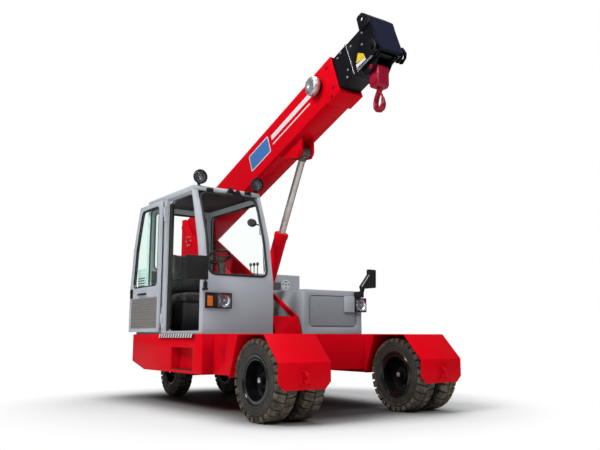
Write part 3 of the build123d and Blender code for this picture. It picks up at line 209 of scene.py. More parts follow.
def blank(name: str) -> tuple[bpy.types.Material, bpy.types.NodeTree, bpy.types.Node, bpy.types.NodeSocket]:
    """Starts a material.

    Args:
        name: The material's name.

    Returns:
        The material, its tree, its Principled BSDF and the Object coordinates.
    """
    material = bpy.data.materials.new(name)
    material.use_nodes = True
    tree = material.node_tree
    surface = tree.nodes["Principled BSDF"]
    where = add(tree, "ShaderNodeTexCoord").outputs["Object"]
    return material, tree, surface, where


def grouped(tree: bpy.types.NodeTree, group: bpy.types.NodeTree, values: dict[str, Any]) -> bpy.types.Node:
    """Places a shared group in a material's tree with its own values."""
    return add(tree, "ShaderNodeGroup", values, node_tree=group)


def bumped(tree: bpy.types.NodeTree, surface: bpy.types.Node, height: bpy.types.NodeSocket, strength: float,
           distance: float = 0.002) -> None:
    """Gives a surface a fine relief."""
    bump = add(tree, "ShaderNodeBump", {"Strength": strength, "Distance": distance, "Height": height})
    tree.links.new(bump.outputs[0], surface.inputs["Normal"])


def blended(tree: bpy.types.NodeTree, mask: bpy.types.NodeSocket, low: Any, high: Any) -> bpy.types.NodeSocket:
    """Mixes two colours by a mask and returns the result's socket."""
    values = {0: mask}
    for number, colour in ((6, low), (7, high)):
        values[number] = colour if isinstance(colour, bpy.types.NodeSocket) else (*colour, 1.0)
    return add(tree, "ShaderNodeMix", values, data_type="RGBA").outputs[2]


@dataclass(frozen=True)
class Coating:
    """Sprayed paint over steel, with a clear gloss layer, a fine skin and road dust low down."""

    name: str
    colour: Colour
    deep: Colour
    roughness: float = 0.38
    coat: float = 0.12
    shine: float = 0.3
    grain: float = 260.0
    relief: float = 0.04
    dust: float = 0.12
    dust_top: float = 0.9
    dust_colour: Colour = (0.33, 0.29, 0.25)
    bounce: Colour | None = None

    def build(self) -> bpy.types.Material:
        """Makes the paint's material; a bounce colour calms what it throws on its neighbours."""
        material, tree, surface, where = blank(self.name)
        skin = grouped(tree, Effects.relief(), {"Vector": where, "Grain": self.grain, "Patch": 1.6})
        dust = grouped(tree, Effects.dust(), {"Vector": where, "Top": self.dust_top, "Amount": self.dust})
        marks = grouped(tree, Effects.scratches(), {"Vector": where, "Amount": 0.16})
        tone = add(tree, "ShaderNodeMapRange", {"Value": skin.outputs["Tone"], "From Min": 0.35, "From Max": 0.7})
        paint = blended(tree, tone.outputs[0], self.deep, self.colour)
        paint = blended(tree, dust.outputs["Mask"], paint, self.dust_colour)
        if self.bounce:
            paint = blended(tree, add(tree, "ShaderNodeLightPath").outputs["Is Diffuse Ray"], paint, self.bounce)
        tree.links.new(paint, surface.inputs["Base Color"])
        worn = add(tree, "ShaderNodeMath", {0: dust.outputs["Mask"], 1: marks.outputs["Mask"]}, operation="MAXIMUM")
        rough = add(tree, "ShaderNodeMapRange", {"Value": worn.outputs[0], "To Min": self.roughness, "To Max": 0.85})
        tree.links.new(rough.outputs[0], surface.inputs["Roughness"])
        bumped(tree, surface, skin.outputs["Height"], self.relief)
        surface.inputs["Coat Weight"].default_value = self.coat
        surface.inputs["Coat Roughness"].default_value = 0.08
        surface.inputs["Specular IOR Level"].default_value = self.shine
        return material


@dataclass(frozen=True)
class Rubber:
    """Worn solid rubber with dust in its skin."""

    name: str
    colour: Colour
    dusty: Colour
    amount: float = 0.9
    top: float = 1.6
    roughness: float = 0.72

    def build(self) -> bpy.types.Material:
        """Makes the rubber's material."""
        material, tree, surface, where = blank(self.name)
        skin = grouped(tree, Effects.relief(), {"Vector": where, "Grain": 90.0, "Patch": 7.0})
        dust = grouped(tree, Effects.dust(), {"Vector": where, "Top": self.top, "Amount": self.amount, "Spots": 14.0})
        tree.links.new(blended(tree, dust.outputs["Mask"], self.colour, self.dusty), surface.inputs["Base Color"])
        rough = add(tree, "ShaderNodeMapRange", {"Value": skin.outputs["Tone"], "To Min": self.roughness - 0.12,
                                                 "To Max": self.roughness + 0.12})
        tree.links.new(rough.outputs[0], surface.inputs["Roughness"])
        bumped(tree, surface, skin.outputs["Height"], 0.25)
        return material


@dataclass(frozen=True)
class Metal:
    """Bare metal, polished or dull, with fine marks."""

    name: str
    colour: Colour
    stain: Colour
    roughness: float = 0.25
    grain: float = 160.0
    relief: float = 0.05
    marks: float = 0.5

    def build(self) -> bpy.types.Material:
        """Makes the metal's material."""
        material, tree, surface, where = blank(self.name)
        skin = grouped(tree, Effects.relief(), {"Vector": where, "Grain": self.grain, "Patch": 11.0})
        marks = grouped(tree, Effects.scratches(), {"Vector": where, "Scale": 26.0, "Amount": self.marks})
        tone = add(tree, "ShaderNodeMapRange", {"Value": skin.outputs["Tone"], "From Min": 0.3, "From Max": 0.75})
        tree.links.new(blended(tree, tone.outputs[0], self.colour, self.stain), surface.inputs["Base Color"])
        worn = add(tree, "ShaderNodeMath", {0: tone.outputs[0], 1: marks.outputs["Mask"]}, operation="MAXIMUM")
        rough = add(tree, "ShaderNodeMapRange", {"Value": worn.outputs[0], "To Min": self.roughness,
                                                 "To Max": min(1.0, self.roughness + 0.25)})
        tree.links.new(rough.outputs[0], surface.inputs["Roughness"])
        bumped(tree, surface, skin.outputs["Height"], self.relief)
        surface.inputs["Metallic"].default_value = 1.0
        return material


@dataclass(frozen=True)
class Moulded:
    """Grained plastic or satin powder coat."""

    name: str
    colour: Colour
    pale: Colour
    roughness: float = 0.5
    grain: float = 700.0
    relief: float = 0.2

    def build(self) -> bpy.types.Material:
        """Makes the plastic's material."""
        material, tree, surface, where = blank(self.name)
        skin = grouped(tree, Effects.relief(), {"Vector": where, "Grain": self.grain, "Patch": 5.0})
        dust = grouped(tree, Effects.dust(), {"Vector": where, "Top": 2.6, "Amount": 0.35, "Spots": 12.0})
        tree.links.new(blended(tree, dust.outputs["Mask"], self.colour, self.pale), surface.inputs["Base Color"])
        rough = add(tree, "ShaderNodeMapRange", {"Value": skin.outputs["Tone"], "To Min": self.roughness - 0.08,
                                                 "To Max": self.roughness + 0.1})
        surface.inputs["Specular IOR Level"].default_value = 0.35
        tree.links.new(rough.outputs[0], surface.inputs["Roughness"])
        bumped(tree, surface, skin.outputs["Height"], self.relief, 0.0008)
        return material


@dataclass(frozen=True)
class Fabric:
    """Woven seat cloth; its near-black colour is partly painted shade inside the cab."""

    name: str
    colour: Colour
    pale: Colour

    def build(self) -> bpy.types.Material:
        """Makes the cloth's material."""
        material, tree, surface, where = blank(self.name)
        skin = grouped(tree, Effects.relief(), {"Vector": where, "Grain": 60.0, "Patch": 6.0})
        weave = grouped(tree, Effects.weave(), {"Vector": where})
        tree.links.new(blended(tree, skin.outputs["Tone"], self.colour, self.pale), surface.inputs["Base Color"])
        rough = add(tree, "ShaderNodeMapRange", {"Value": skin.outputs["Tone"], "To Min": 0.75, "To Max": 0.95})
        tree.links.new(rough.outputs[0], surface.inputs["Roughness"])
        bumped(tree, surface, weave.outputs["Height"], 0.4, 0.001)
        surface.inputs["Sheen Weight"].default_value = 0.3
        return material


@dataclass(frozen=True)
class Glazing:
    """Clear or tinted glass or lens plastic; daylight passes it without a dark shadow."""

    name: str
    tint: Colour
    roughness: float = 0.02
    ribs: float = 0.0
    bend: float = 1.45

    def build(self) -> bpy.types.Material:
        """Makes the glass's material."""
        material, tree, surface, where = blank(self.name)
        surface.inputs["Base Color"].default_value = (*self.tint, 1.0)
        surface.inputs["Transmission Weight"].default_value = 1.0
        surface.inputs["IOR"].default_value = self.bend
        smear = grouped(tree, Effects.relief(), {"Vector": where, "Grain": 40.0, "Patch": 4.0})
        rough = add(tree, "ShaderNodeMapRange", {"Value": smear.outputs["Tone"], "To Min": 0.0, "To Max": self.roughness * 2})
        tree.links.new(rough.outputs[0], surface.inputs["Roughness"])
        if self.ribs:
            bumped(tree, surface, smear.outputs["Height"], self.ribs)
        shadow = add(tree, "ShaderNodeLightPath").outputs["Is Shadow Ray"]
        clear = add(tree, "ShaderNodeBsdfTransparent", {"Color": (*(0.5 + c / 2 for c in self.tint), 1.0)})
        mixed = add(tree, "ShaderNodeMixShader", {0: shadow, 1: surface.outputs[0], 2: clear.outputs[0]})
        tree.links.new(mixed.outputs[0], tree.nodes["Material Output"].inputs["Surface"])
        return material


class Finish(Enum):
    """Every finish on the crane."""

    RED = Coating("red_gloss_paint", (0.80, 0.0004, 0.010), (0.74, 0.0003, 0.008), coat=0.0, shine=0.05, dust=0.02,
                  bounce=(0.20, 0.17, 0.18))
    BALLAST = Coating("red_ballast_paint", (0.76, 0.0004, 0.010), (0.68, 0.0003, 0.008), roughness=0.45, relief=0.12,
                      grain=70.0, coat=0.0, shine=0.05, dust=0.03, bounce=(0.20, 0.17, 0.18))
    CAB = Coating("silver_cab_paint", (0.54, 0.565, 0.61), (0.505, 0.53, 0.575), coat=0.05, shine=0.2, dust=0.04, dust_top=1.5)
    BOX = Coating("pale_grey_paint", (0.50, 0.52, 0.56), (0.46, 0.48, 0.52), roughness=0.42, grain=120.0, relief=0.1,
                  coat=0.05, shine=0.2, dust=0.04, dust_top=1.5)
    NAVY = Coating("blue_black_steel", (0.014, 0.017, 0.045), (0.010, 0.012, 0.034), coat=0.03, shine=0.16, dust=0.0)
    # Darker than the box paint, as painted shade in the grooves between the front panel's ribs.
    PANEL_GROOVE_SHADE = Coating("hammered_grey_paint_with_groove_shade", (0.31, 0.33, 0.37), (0.27, 0.29, 0.32), roughness=0.42, grain=48.0,
                    relief=0.8, coat=0.05, shine=0.2, dust=0.06, dust_top=1.5)
    BLACK = Coating("black_gloss_steel", (0.007, 0.007, 0.011), (0.004, 0.004, 0.007), roughness=0.34, coat=0.03,
                    shine=0.16, dust=0.05, dust_top=4.5, dust_colour=(0.05, 0.05, 0.05))
    RIM = Coating("black_rim_paint", (0.008, 0.008, 0.009), (0.005, 0.005, 0.005), roughness=0.2, coat=0.5, dust=0.12,
                  dust_top=1.0, dust_colour=(0.06, 0.055, 0.05))
    PIT = Coating("matt_black_disc", (0.006, 0.006, 0.007), (0.004, 0.004, 0.005), roughness=0.55, coat=0.0, shine=0.1, dust=0.04)
    HOOK = Coating("dark_red_hook_paint", (0.42, 0.001, 0.03), (0.32, 0.001, 0.022), roughness=0.3, dust=0.04,
                   dust_top=4.0)
    WHITE = Coating("white_trim", (0.80, 0.80, 0.80), (0.74, 0.74, 0.74), roughness=0.4, coat=0.2, dust=0.06, dust_top=3.0)
    BLUE = Coating("blue_trim", (0.06, 0.20, 0.52), (0.05, 0.17, 0.45), roughness=0.35, coat=0.3, dust=0.05, dust_top=3.0)
    YELLOW = Coating("yellow_plate", (0.85, 0.62, 0.03), (0.78, 0.55, 0.02), roughness=0.4, coat=0.2, dust=0.05,
                     dust_top=3.0)
    AMBER = Coating("amber_lens", (0.92, 0.22, 0.008), (0.85, 0.16, 0.004), roughness=0.25, coat=0.6, grain=60.0, relief=0.5)
    TAIL = Coating("red_lens", (0.62, 0.004, 0.006), (0.52, 0.003, 0.004), roughness=0.25, coat=0.6, grain=60.0, relief=0.5)
    LENS = Glazing("clear_lens", (0.95, 0.97, 1.0), 0.02, 0.4)
    GLASS = Glazing("clear_glass", (0.98, 1.0, 0.99), 0.002, bend=1.06)
    TINTED = Glazing("tinted_glass", (0.80, 0.95, 0.88), 0.002, bend=1.1)
    TYRE = Rubber("tyre_rubber", (0.040, 0.032, 0.022), (0.26, 0.20, 0.13), amount=0.8)
    SIDEWALL = Rubber("tyre_sidewall", (0.024, 0.022, 0.019), (0.07, 0.06, 0.045), amount=0.7)
    SEAL = Rubber("window_rubber", (0.008, 0.008, 0.008), (0.025, 0.025, 0.025), amount=0.2, top=3.0, roughness=0.6)
    CHROME = Metal("hard_chrome", (0.60, 0.55, 0.51), (0.52, 0.48, 0.44), roughness=0.2, relief=0.01, marks=0.04)
    ZINC = Metal("zinc_plate", (0.72, 0.72, 0.73), (0.52, 0.51, 0.50), roughness=0.34)
    REFLECTOR = Metal("lamp_reflector", (0.85, 0.86, 0.90), (0.7, 0.71, 0.74), roughness=0.1, relief=0.02)
    SMOKED = Metal("smoked_reflector", (0.30, 0.31, 0.33), (0.16, 0.17, 0.18), roughness=0.32, relief=0.02)
    STEEL = Metal("dark_steel", (0.20, 0.19, 0.18), (0.11, 0.095, 0.085), roughness=0.42)
    PLASTIC = Moulded("black_plastic", (0.009, 0.009, 0.010), (0.03, 0.03, 0.03))
    SLAT = Moulded("louvre_slats", (0.27, 0.25, 0.23), (0.36, 0.34, 0.32), roughness=0.55, grain=260.0)
    # Near-black lining, darkened partly as painted shade inside the cab.
    TRIM_AND_SHADE = Moulded("cab_trim_and_painted_shade", (0.007, 0.007, 0.008), (0.02, 0.02, 0.02), roughness=0.65, grain=260.0)
    IRON = Moulded("cast_iron", (0.06, 0.06, 0.06), (0.14, 0.12, 0.10), roughness=0.7, grain=120.0, relief=0.5)
    # Seat cloth darker than real black cloth, partly as painted shade inside the cab.
    CLOTH = Fabric("seat_cloth_and_painted_shade", (0.006, 0.006, 0.007), (0.018, 0.018, 0.02))


class Paintshop:
    """Builds each finish once and hands out its material."""

    _made: dict[Finish, bpy.types.Material] = {}

    @classmethod
    def get(cls, finish: Finish) -> bpy.types.Material:
        """The material of a finish."""
        if finish not in cls._made:
            cls._made[finish] = finish.value.build()
        return cls._made[finish]


def rounded(outline: Sequence[Flat], radius: float, steps: int = 5) -> list[Flat]:
    """Rounds the corners of a closed outline.

    Args:
        outline: The corners in order.
        radius: Radius of every corner.
        steps: Straight pieces in each corner.

    Returns:
        The points of the rounded outline.
    """
    points: list[Flat] = []
    count = len(outline)
    for k in range(count):
        before, corner, after = (Vector(outline[(k + d) % count]) for d in (-1, 0, 1))
        into, out = (before - corner), (after - corner)
        angle = into.angle(out)
        if angle > math.radians(172):
            points.append(tuple(corner))
            continue
        reach = min(radius / math.tan(angle / 2), into.length * 0.49, out.length * 0.49)
        start, end = corner + into.normalized() * reach, corner + out.normalized() * reach
        for j in range(steps + 1):
            t = j / steps
            points.append(tuple(start * (1 - t) ** 2 + corner * 2 * t * (1 - t) + end * t ** 2))
    return points


def rectangle(a0: float, a1: float, b0: float, b1: float) -> list[Flat]:
    """Four corners of a rectangle."""
    return [(a0, b0), (a1, b0), (a1, b1), (a0, b1)]


def circle(centre: Flat, radius: float, count: int) -> list[Flat]:
    """Points spread evenly on a circle."""
    turns = [math.tau * k / count for k in range(count)]
    return [(centre[0] + radius * math.cos(turn), centre[1] + radius * math.sin(turn)) for turn in turns]


def upright(points: Iterable[Flat], y: float) -> list[Point]:
    """Stands points, given as X and Z, on one Y."""
    return [(x, y, z) for x, z in points]


def both_sides(points: Iterable[Flat], y: float) -> list[tuple[Point, Point]]:
    """Spots for bolts that face outwards on both sides, for points given as X and Z."""
    return [((x, sign * y, z), (0, sign, 0)) for sign in (-1, 1) for x, z in points]


def drawn_box(node: str) -> tuple[Vector, Vector]:
    """Box of a CAD node in the drawing's millimetres."""
    low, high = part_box(node)
    inverse = LAYOUT.inverted()
    return inverse @ low, inverse @ high


def linked(name: str, data: Any) -> bpy.types.Object:
    """A new object in the scene around a mesh, a lamp or a camera."""
    obj = bpy.data.objects.new(name, data)
    bpy.context.scene.collection.objects.link(obj)
    return obj


def settled(obj: bpy.types.Object, modifier: bpy.types.Modifier) -> bpy.types.Object:
    """Keeps what a modifier makes as the object's plain mesh, and removes the modifier."""
    result = bpy.data.meshes.new_from_object(obj.evaluated_get(bpy.context.evaluated_depsgraph_get()))
    obj.modifiers.remove(modifier)
    obj.data = result
    return obj


class Form:
    """Shapes drawn in millimetres that end as one piece."""

    def __init__(self, name: str, side: int = 1) -> None:
        """Starts an empty piece.

        Args:
            name: The piece's name.
            side: 1 keeps Y as drawn, -1 mirrors it to the other side.
        """
        self.name, self.side, self.mesh = name, side, bmesh.new()

    def _take(self, part: bmesh.types.BMesh, bevel: float = 0.0) -> "Form":
        """Bevels a part and adds it to the piece."""
        if bevel > 0:
            bmesh.ops.recalc_face_normals(part, faces=part.faces)
            edges = [e for e in part.edges if len(e.link_faces) == 2 and e.calc_face_angle(0) > math.radians(30)]
            bmesh.ops.bevel(part, geom=edges, offset=bevel, segments=2, profile=0.5, affect="EDGES",
                            clamp_overlap=True)
        scrap = bpy.data.meshes.new("part")
        part.to_mesh(scrap)
        self.mesh.from_mesh(scrap)
        part.free()
        bpy.data.meshes.remove(scrap)
        return self

    def box(self, low: Point, high: Point, bevel: float = 2.0) -> "Form":
        """Adds a box between two corners."""
        part = bmesh.new()
        bmesh.ops.create_cube(part, size=1.0)
        size = [b - a for a, b in zip(low, high)]
        middle = [(a + b) / 2 for a, b in zip(low, high)]
        for v in part.verts:
            v.co = Vector(c * s + m for c, s, m in zip(v.co, size, middle))
        return self._take(part, bevel)

    def bar(self, start: Point, end: Point, radius: float, tip: float | None = None, sides: int = 32,
            bevel: float = 0.0) -> "Form":
        """Adds a round bar or a cone from start to end."""
        part = bmesh.new()
        a, b = Vector(start), Vector(end)
        bmesh.ops.create_cone(part, cap_ends=True, segments=sides, radius1=radius,
                              radius2=radius if tip is None else tip, depth=(b - a).length)
        turn = (b - a).to_track_quat("Z", "Y").to_matrix().to_4x4()
        part.transform(Matrix.Translation((a + b) / 2) @ turn)
        return self._take(part, bevel)

    def ball(self, centre: Point, radius: float, squash: Point = (1, 1, 1)) -> "Form":
        """Adds a ball, squashed along the axes."""
        part = bmesh.new()
        bmesh.ops.create_uvsphere(part, u_segments=24, v_segments=16, radius=radius)
        part.transform(Matrix.Translation(centre) @ Matrix.Diagonal((*squash, 1)))
        return self._take(part)

    def plate(self, outline: Sequence[Flat], axis: Axis, low: float, high: float, bevel: float = 1.5) -> "Form":
        """Adds a flat plate with the given outline."""
        part = bmesh.new()
        a, b, c = axis.value
        rings = []
        for level in (low, high):
            ring = []
            for u, w in outline:
                co = [0.0, 0.0, 0.0]
                co[a], co[b], co[c] = u, w, level
                ring.append(part.verts.new(co))
            rings.append(ring)
        part.faces.new(rings[0][::-1])
        part.faces.new(rings[1])
        count = len(outline)
        for k in range(count):
            j = (k + 1) % count
            part.faces.new((rings[0][k], rings[0][j], rings[1][j], rings[1][k]))
        bmesh.ops.recalc_face_normals(part, faces=part.faces)
        return self._take(part, bevel)

    def turned(self, profile: Sequence[Flat], centre: Point, axis: Point = (0, 1, 0), steps: int = 64) -> "Form":
        """Adds a turned shape.

        Args:
            profile: Closed outline, as radius and distance along the axis.
            centre: Where the axis distance is 0.
            axis: Direction of the axis.
            steps: Straight pieces round the shape.

        Returns:
            The form itself.
        """
        part = bmesh.new()
        turn = Vector(axis).to_track_quat("Z", "Y").to_matrix().to_4x4()
        place = Matrix.Translation(centre) @ turn
        rings = []
        for radius, height in profile:
            if radius < 1e-6:
                rings.append([part.verts.new(place @ Vector((0, 0, height)))] * steps)
                continue
            rings.append([part.verts.new(place @ Vector((u, w, height))) for u, w in circle((0, 0), radius, steps)])
        for low, high in zip(rings, rings[1:] + rings[:1]):
            for k in range(steps):
                j = (k + 1) % steps
                corners = list(dict.fromkeys((low[k], low[j], high[j], high[k])))
                if len(corners) > 2:
                    part.faces.new(corners)
        bmesh.ops.recalc_face_normals(part, faces=part.faces)
        return self._take(part)

    def loft(self, rings: Sequence[Sequence[Point]]) -> "Form":
        """Adds a closed skin through rings of equal count."""
        part = bmesh.new()
        made = [[part.verts.new(p) for p in ring] for ring in rings]
        count = len(rings[0])
        for low, high in zip(made, made[1:]):
            for k in range(count):
                j = (k + 1) % count
                part.faces.new((low[k], low[j], high[j], high[k]))
        part.faces.new(made[0][::-1])
        part.faces.new(made[-1])
        bmesh.ops.recalc_face_normals(part, faces=part.faces)
        return self._take(part)

    def done(self, finish: Finish, body: str, slot: Slot, place: Matrix = LAYOUT, smooth: float = 32.0,
             stands_for: Sequence[str] = ()) -> bpy.types.Object:
        """Ends the piece.

        Args:
            finish: Its finish.
            body: The CAD body that it moves with.
            slot: The record's material slot; not used.
            place: From the drawing's millimetres to the frame.
            smooth: Edges sharper than this many degrees stay sharp.
            stands_for: CAD nodes that it replaces.

        Returns:
            The finished object.
        """
        if self.side < 0:
            self.mesh.transform(Matrix.Scale(-1, 4, (0, 1, 0)))
            bmesh.ops.reverse_faces(self.mesh, faces=self.mesh.faces)
        self.mesh.transform(place)
        data = bpy.data.meshes.new(self.name)
        self.mesh.to_mesh(data)
        self.mesh.free()
        return dress(linked(self.name, data), finish, body, smooth, stands_for)


def dress(obj: bpy.types.Object, finish: Finish, body: str, smooth: float = 32.0,
          stands_for: Sequence[str] = ()) -> bpy.types.Object:
    """Gives a finished mesh its material and body."""
    data = obj.data
    data.materials.clear()
    data.materials.append(Paintshop.get(finish))
    for polygon in data.polygons:
        polygon.material_index = 0
    data.shade_smooth()
    data.set_sharp_from_angle(angle=math.radians(smooth))
    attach(obj, body)
    if stands_for:
        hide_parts(*stands_for)
    LOG.info("%s on %s, %d faces", obj.name, body, len(data.polygons))
    return obj


class Growth:
    """Geometry Nodes trees for what repeats or follows a path."""

    _made: dict[str, bpy.types.NodeTree] = {}

    @classmethod
    def _start(cls, name: str, inputs: dict[str, str]) -> tuple[Any, Any]:
        """Opens a tree with a geometry input and the named inputs."""
        tree = bpy.data.node_groups.new(name, "GeometryNodeTree")
        tree.interface.new_socket(name="Geometry", in_out="INPUT", socket_type="NodeSocketGeometry")
        for label, kind in inputs.items():
            tree.interface.new_socket(name=label, in_out="INPUT", socket_type=kind)
        tree.interface.new_socket(name="Finish", in_out="INPUT", socket_type="NodeSocketMaterial")
        tree.interface.new_socket(name="Geometry", in_out="OUTPUT", socket_type="NodeSocketGeometry")
        cls._made[name] = tree
        return tree, add(tree, "NodeGroupInput")

    @classmethod
    def _end(cls, tree: bpy.types.NodeTree, source: bpy.types.Node, geometry: bpy.types.NodeSocket) -> bpy.types.NodeTree:
        """Closes a tree with Realize Instances and Set Material."""
        real = add(tree, "GeometryNodeRealizeInstances", {0: geometry})
        dressed = add(tree, "GeometryNodeSetMaterial", {"Geometry": real.outputs[0], "Material": source.outputs["Finish"]})
        add(tree, "NodeGroupOutput", {0: dressed.outputs[0]})
        return tree

    @classmethod
    def along(cls) -> bpy.types.NodeTree:
        """Repeats a shape in a row."""
        if "repeat_along" in cls._made:
            return cls._made["repeat_along"]
        tree, source = cls._start("repeat_along", {"Count": "NodeSocketInt", "Step": "NodeSocketVector"})
        points = add(tree, "GeometryNodePoints", {"Count": source.outputs["Count"]})
        shift = add(tree, "ShaderNodeVectorMath", {0: source.outputs["Step"], "Scale": add(tree, "GeometryNodeInputIndex").outputs[0]},
                    operation="SCALE")
        moved = add(tree, "GeometryNodeSetPosition", {"Geometry": points.outputs[0], "Position": shift.outputs[0]})
        many = add(tree, "GeometryNodeInstanceOnPoints", {"Points": moved.outputs[0], "Instance": source.outputs["Geometry"]})
        return cls._end(tree, source, many.outputs[0])

    @classmethod
    def around(cls) -> bpy.types.NodeTree:
        """Repeats a shape round a centre."""
        if "repeat_around" in cls._made:
            return cls._made["repeat_around"]
        tree, source = cls._start("repeat_around", {"Count": "NodeSocketInt", "Centre": "NodeSocketVector",
                                                    "Turn": "NodeSocketVector"})
        back = add(tree, "ShaderNodeVectorMath", {0: source.outputs["Centre"], "Scale": -1.0}, operation="SCALE")
        centred = add(tree, "GeometryNodeTransform", {"Geometry": source.outputs["Geometry"], "Translation": back.outputs[0]})
        points = add(tree, "GeometryNodePoints", {"Count": source.outputs["Count"], "Position": source.outputs["Centre"]})
        turn = add(tree, "ShaderNodeVectorMath", {0: source.outputs["Turn"], "Scale": add(tree, "GeometryNodeInputIndex").outputs[0]},
                   operation="SCALE")
        many = add(tree, "GeometryNodeInstanceOnPoints", {"Points": points.outputs[0], "Instance": centred.outputs[0],
                                                          "Rotation": turn.outputs[0]})
        return cls._end(tree, source, many.outputs[0])

    @classmethod
    def bolts(cls) -> bpy.types.NodeTree:
        """Hexagon heads on washers at points, each facing the way that its point says."""
        if "bolt_heads" in cls._made:
            return cls._made["bolt_heads"]
        tree, source = cls._start("bolt_heads", {"Radius": "NodeSocketFloat", "Height": "NodeSocketFloat"})
        radius, height = source.outputs["Radius"], source.outputs["Height"]
        washer_radius = add(tree, "ShaderNodeMath", {0: radius, 1: 1.45}, operation="MULTIPLY")
        washer_height = add(tree, "ShaderNodeMath", {0: height, 1: 0.6}, operation="MULTIPLY")
        head = add(tree, "GeometryNodeMeshCylinder", {"Vertices": 6, "Radius": radius, "Depth": height})
        washer = add(tree, "GeometryNodeMeshCylinder", {"Vertices": 20, "Radius": washer_radius.outputs[0],
                                                        "Depth": washer_height.outputs[0]})
        lift = add(tree, "ShaderNodeCombineXYZ", {"Z": add(tree, "ShaderNodeMath", {0: height, 1: 0.62},
                                                          operation="MULTIPLY").outputs[0]})
        raised = add(tree, "GeometryNodeTransform", {"Geometry": head.outputs[0], "Translation": lift.outputs[0]})
        bolt = add(tree, "GeometryNodeJoinGeometry", {0: raised.outputs[0]})
        tree.links.new(washer.outputs[0], bolt.inputs[0])
        facing = add(tree, "GeometryNodeInputNamedAttribute", {"Name": "facing"}, data_type="FLOAT_VECTOR")
        aim = add(tree, "FunctionNodeAlignRotationToVector", {"Vector": facing.outputs[0]}, axis="Z")
        points = add(tree, "GeometryNodeMeshToPoints", {"Mesh": source.outputs["Geometry"]})
        many = add(tree, "GeometryNodeInstanceOnPoints", {"Points": points.outputs[0], "Instance": bolt.outputs[0],
                                                          "Rotation": aim.outputs[0]})
        return cls._end(tree, source, many.outputs[0])

    @classmethod
    def sweep(cls) -> bpy.types.NodeTree:
        """A round section that follows a path."""
        if "sweep_path" in cls._made:
            return cls._made["sweep_path"]
        tree, source = cls._start("sweep_path", {"Radius": "NodeSocketFloat", "Sides": "NodeSocketInt"})
        path = add(tree, "GeometryNodeMeshToCurve", {"Mesh": source.outputs["Geometry"]})
        ring = add(tree, "GeometryNodeCurvePrimitiveCircle", {"Resolution": source.outputs["Sides"],
                                                              "Radius": source.outputs["Radius"]})
        skin = add(tree, "GeometryNodeCurveToMesh", {"Curve": path.outputs[0], "Profile Curve": ring.outputs[0],
                                                     "Fill Caps": True})
        return cls._end(tree, source, skin.outputs[0])

    @staticmethod
    def run(obj: bpy.types.Object, tree: bpy.types.NodeTree, finish: Finish, inputs: dict[str, Any]) -> bpy.types.Object:
        """Runs a tree on an object and keeps the result as its plain mesh.

        Args:
            obj: The object with the base mesh.
            tree: The tree.
            finish: The finish that the tree sets.
            inputs: Values of the tree's named inputs.

        Returns:
            The same object with its new mesh.
        """
        modifier = obj.modifiers.new("growth", "NODES")
        modifier.node_group = tree
        ids = {item.name: item.identifier for item in tree.interface.items_tree
               if item.item_type == "SOCKET" and item.in_out == "INPUT"}
        for label, value in {**inputs, "Finish": Paintshop.get(finish)}.items():
            modifier[ids[label]] = value
        return settled(obj, modifier)


def raw(name: str, vertices: Iterable[Sequence[float]], edges: Iterable[tuple[int, int]] = (),
        place: Matrix = LAYOUT) -> bpy.types.Object:
    """A bare mesh of points and edges, in the frame's metres, as the base of a tree."""
    data = bpy.data.meshes.new(name)
    data.from_pydata([place @ Vector(v) for v in vertices], list(edges), [])
    return linked(name, data)


def swept(name: str, paths: Sequence[Sequence[Point]], radius: float, finish: Finish, body: str,
          closed: bool = True, place: Matrix = LAYOUT, sides: int = 8) -> bpy.types.Object:
    """Round strips along paths.

    Args:
        name: The piece's name.
        paths: The paths in millimetres.
        radius: Radius of the strip in millimetres.
        finish: Its finish.
        body: The body that it rides on.
        closed: Whether each path joins up.
        place: From millimetres to the frame.
        sides: Faces round the strip.

    Returns:
        The piece.
    """
    vertices: list[Point] = []
    edges: list[tuple[int, int]] = []
    for path in paths:
        first = len(vertices)
        vertices += path
        edges += [(first + k, first + k + 1) for k in range(len(path) - 1)]
        if closed:
            edges.append((first + len(path) - 1, first))
    obj = raw(name, vertices, edges, place)
    Growth.run(obj, Growth.sweep(), finish, {"Radius": radius / 1000, "Sides": sides})
    return dress(obj, finish, body, 50.0)


def bolted(name: str, spots: Sequence[tuple[Point, Point]], radius: float, finish: Finish, body: str,
           place: Matrix = LAYOUT) -> bpy.types.Object:
    """Bolt heads at spots, each given by its place and the way that it faces."""
    obj = raw(name, [spot for spot, _ in spots], place=place)
    facing = obj.data.attributes.new("facing", "FLOAT_VECTOR", "POINT")
    turn = place.to_3x3()
    for k, (_, way) in enumerate(spots):
        facing.data[k].vector = (turn @ Vector(way)).normalized()
    Growth.run(obj, Growth.bolts(), finish, {"Radius": radius / 1000, "Height": radius * 0.9 / 1000})
    return dress(obj, finish, body, 25.0)


def row(form: Form, count: int, step: Point, finish: Finish, body: str, slot: Slot) -> bpy.types.Object:
    """A form repeated in a row; the step is in the drawing's millimetres."""
    obj = form.done(finish, body, slot)
    Growth.run(obj, Growth.along(), finish, {"Count": count, "Step": tuple(LAYOUT.to_3x3() @ Vector(step))})
    return dress(obj, finish, body)


def wheel_of(form: Form, count: int, centre: Point, finish: Finish, body: str, slot: Slot) -> bpy.types.Object:
    """A form repeated evenly round a centre, in the plane of X and Z."""
    obj = form.done(finish, body, slot)
    Growth.run(obj, Growth.around(), finish, {"Count": count, "Centre": tuple(LAYOUT @ Vector(centre)),
                                              "Turn": tuple(Vector((0, 1, 0)) * math.tau / count)})
    return dress(obj, finish, body)


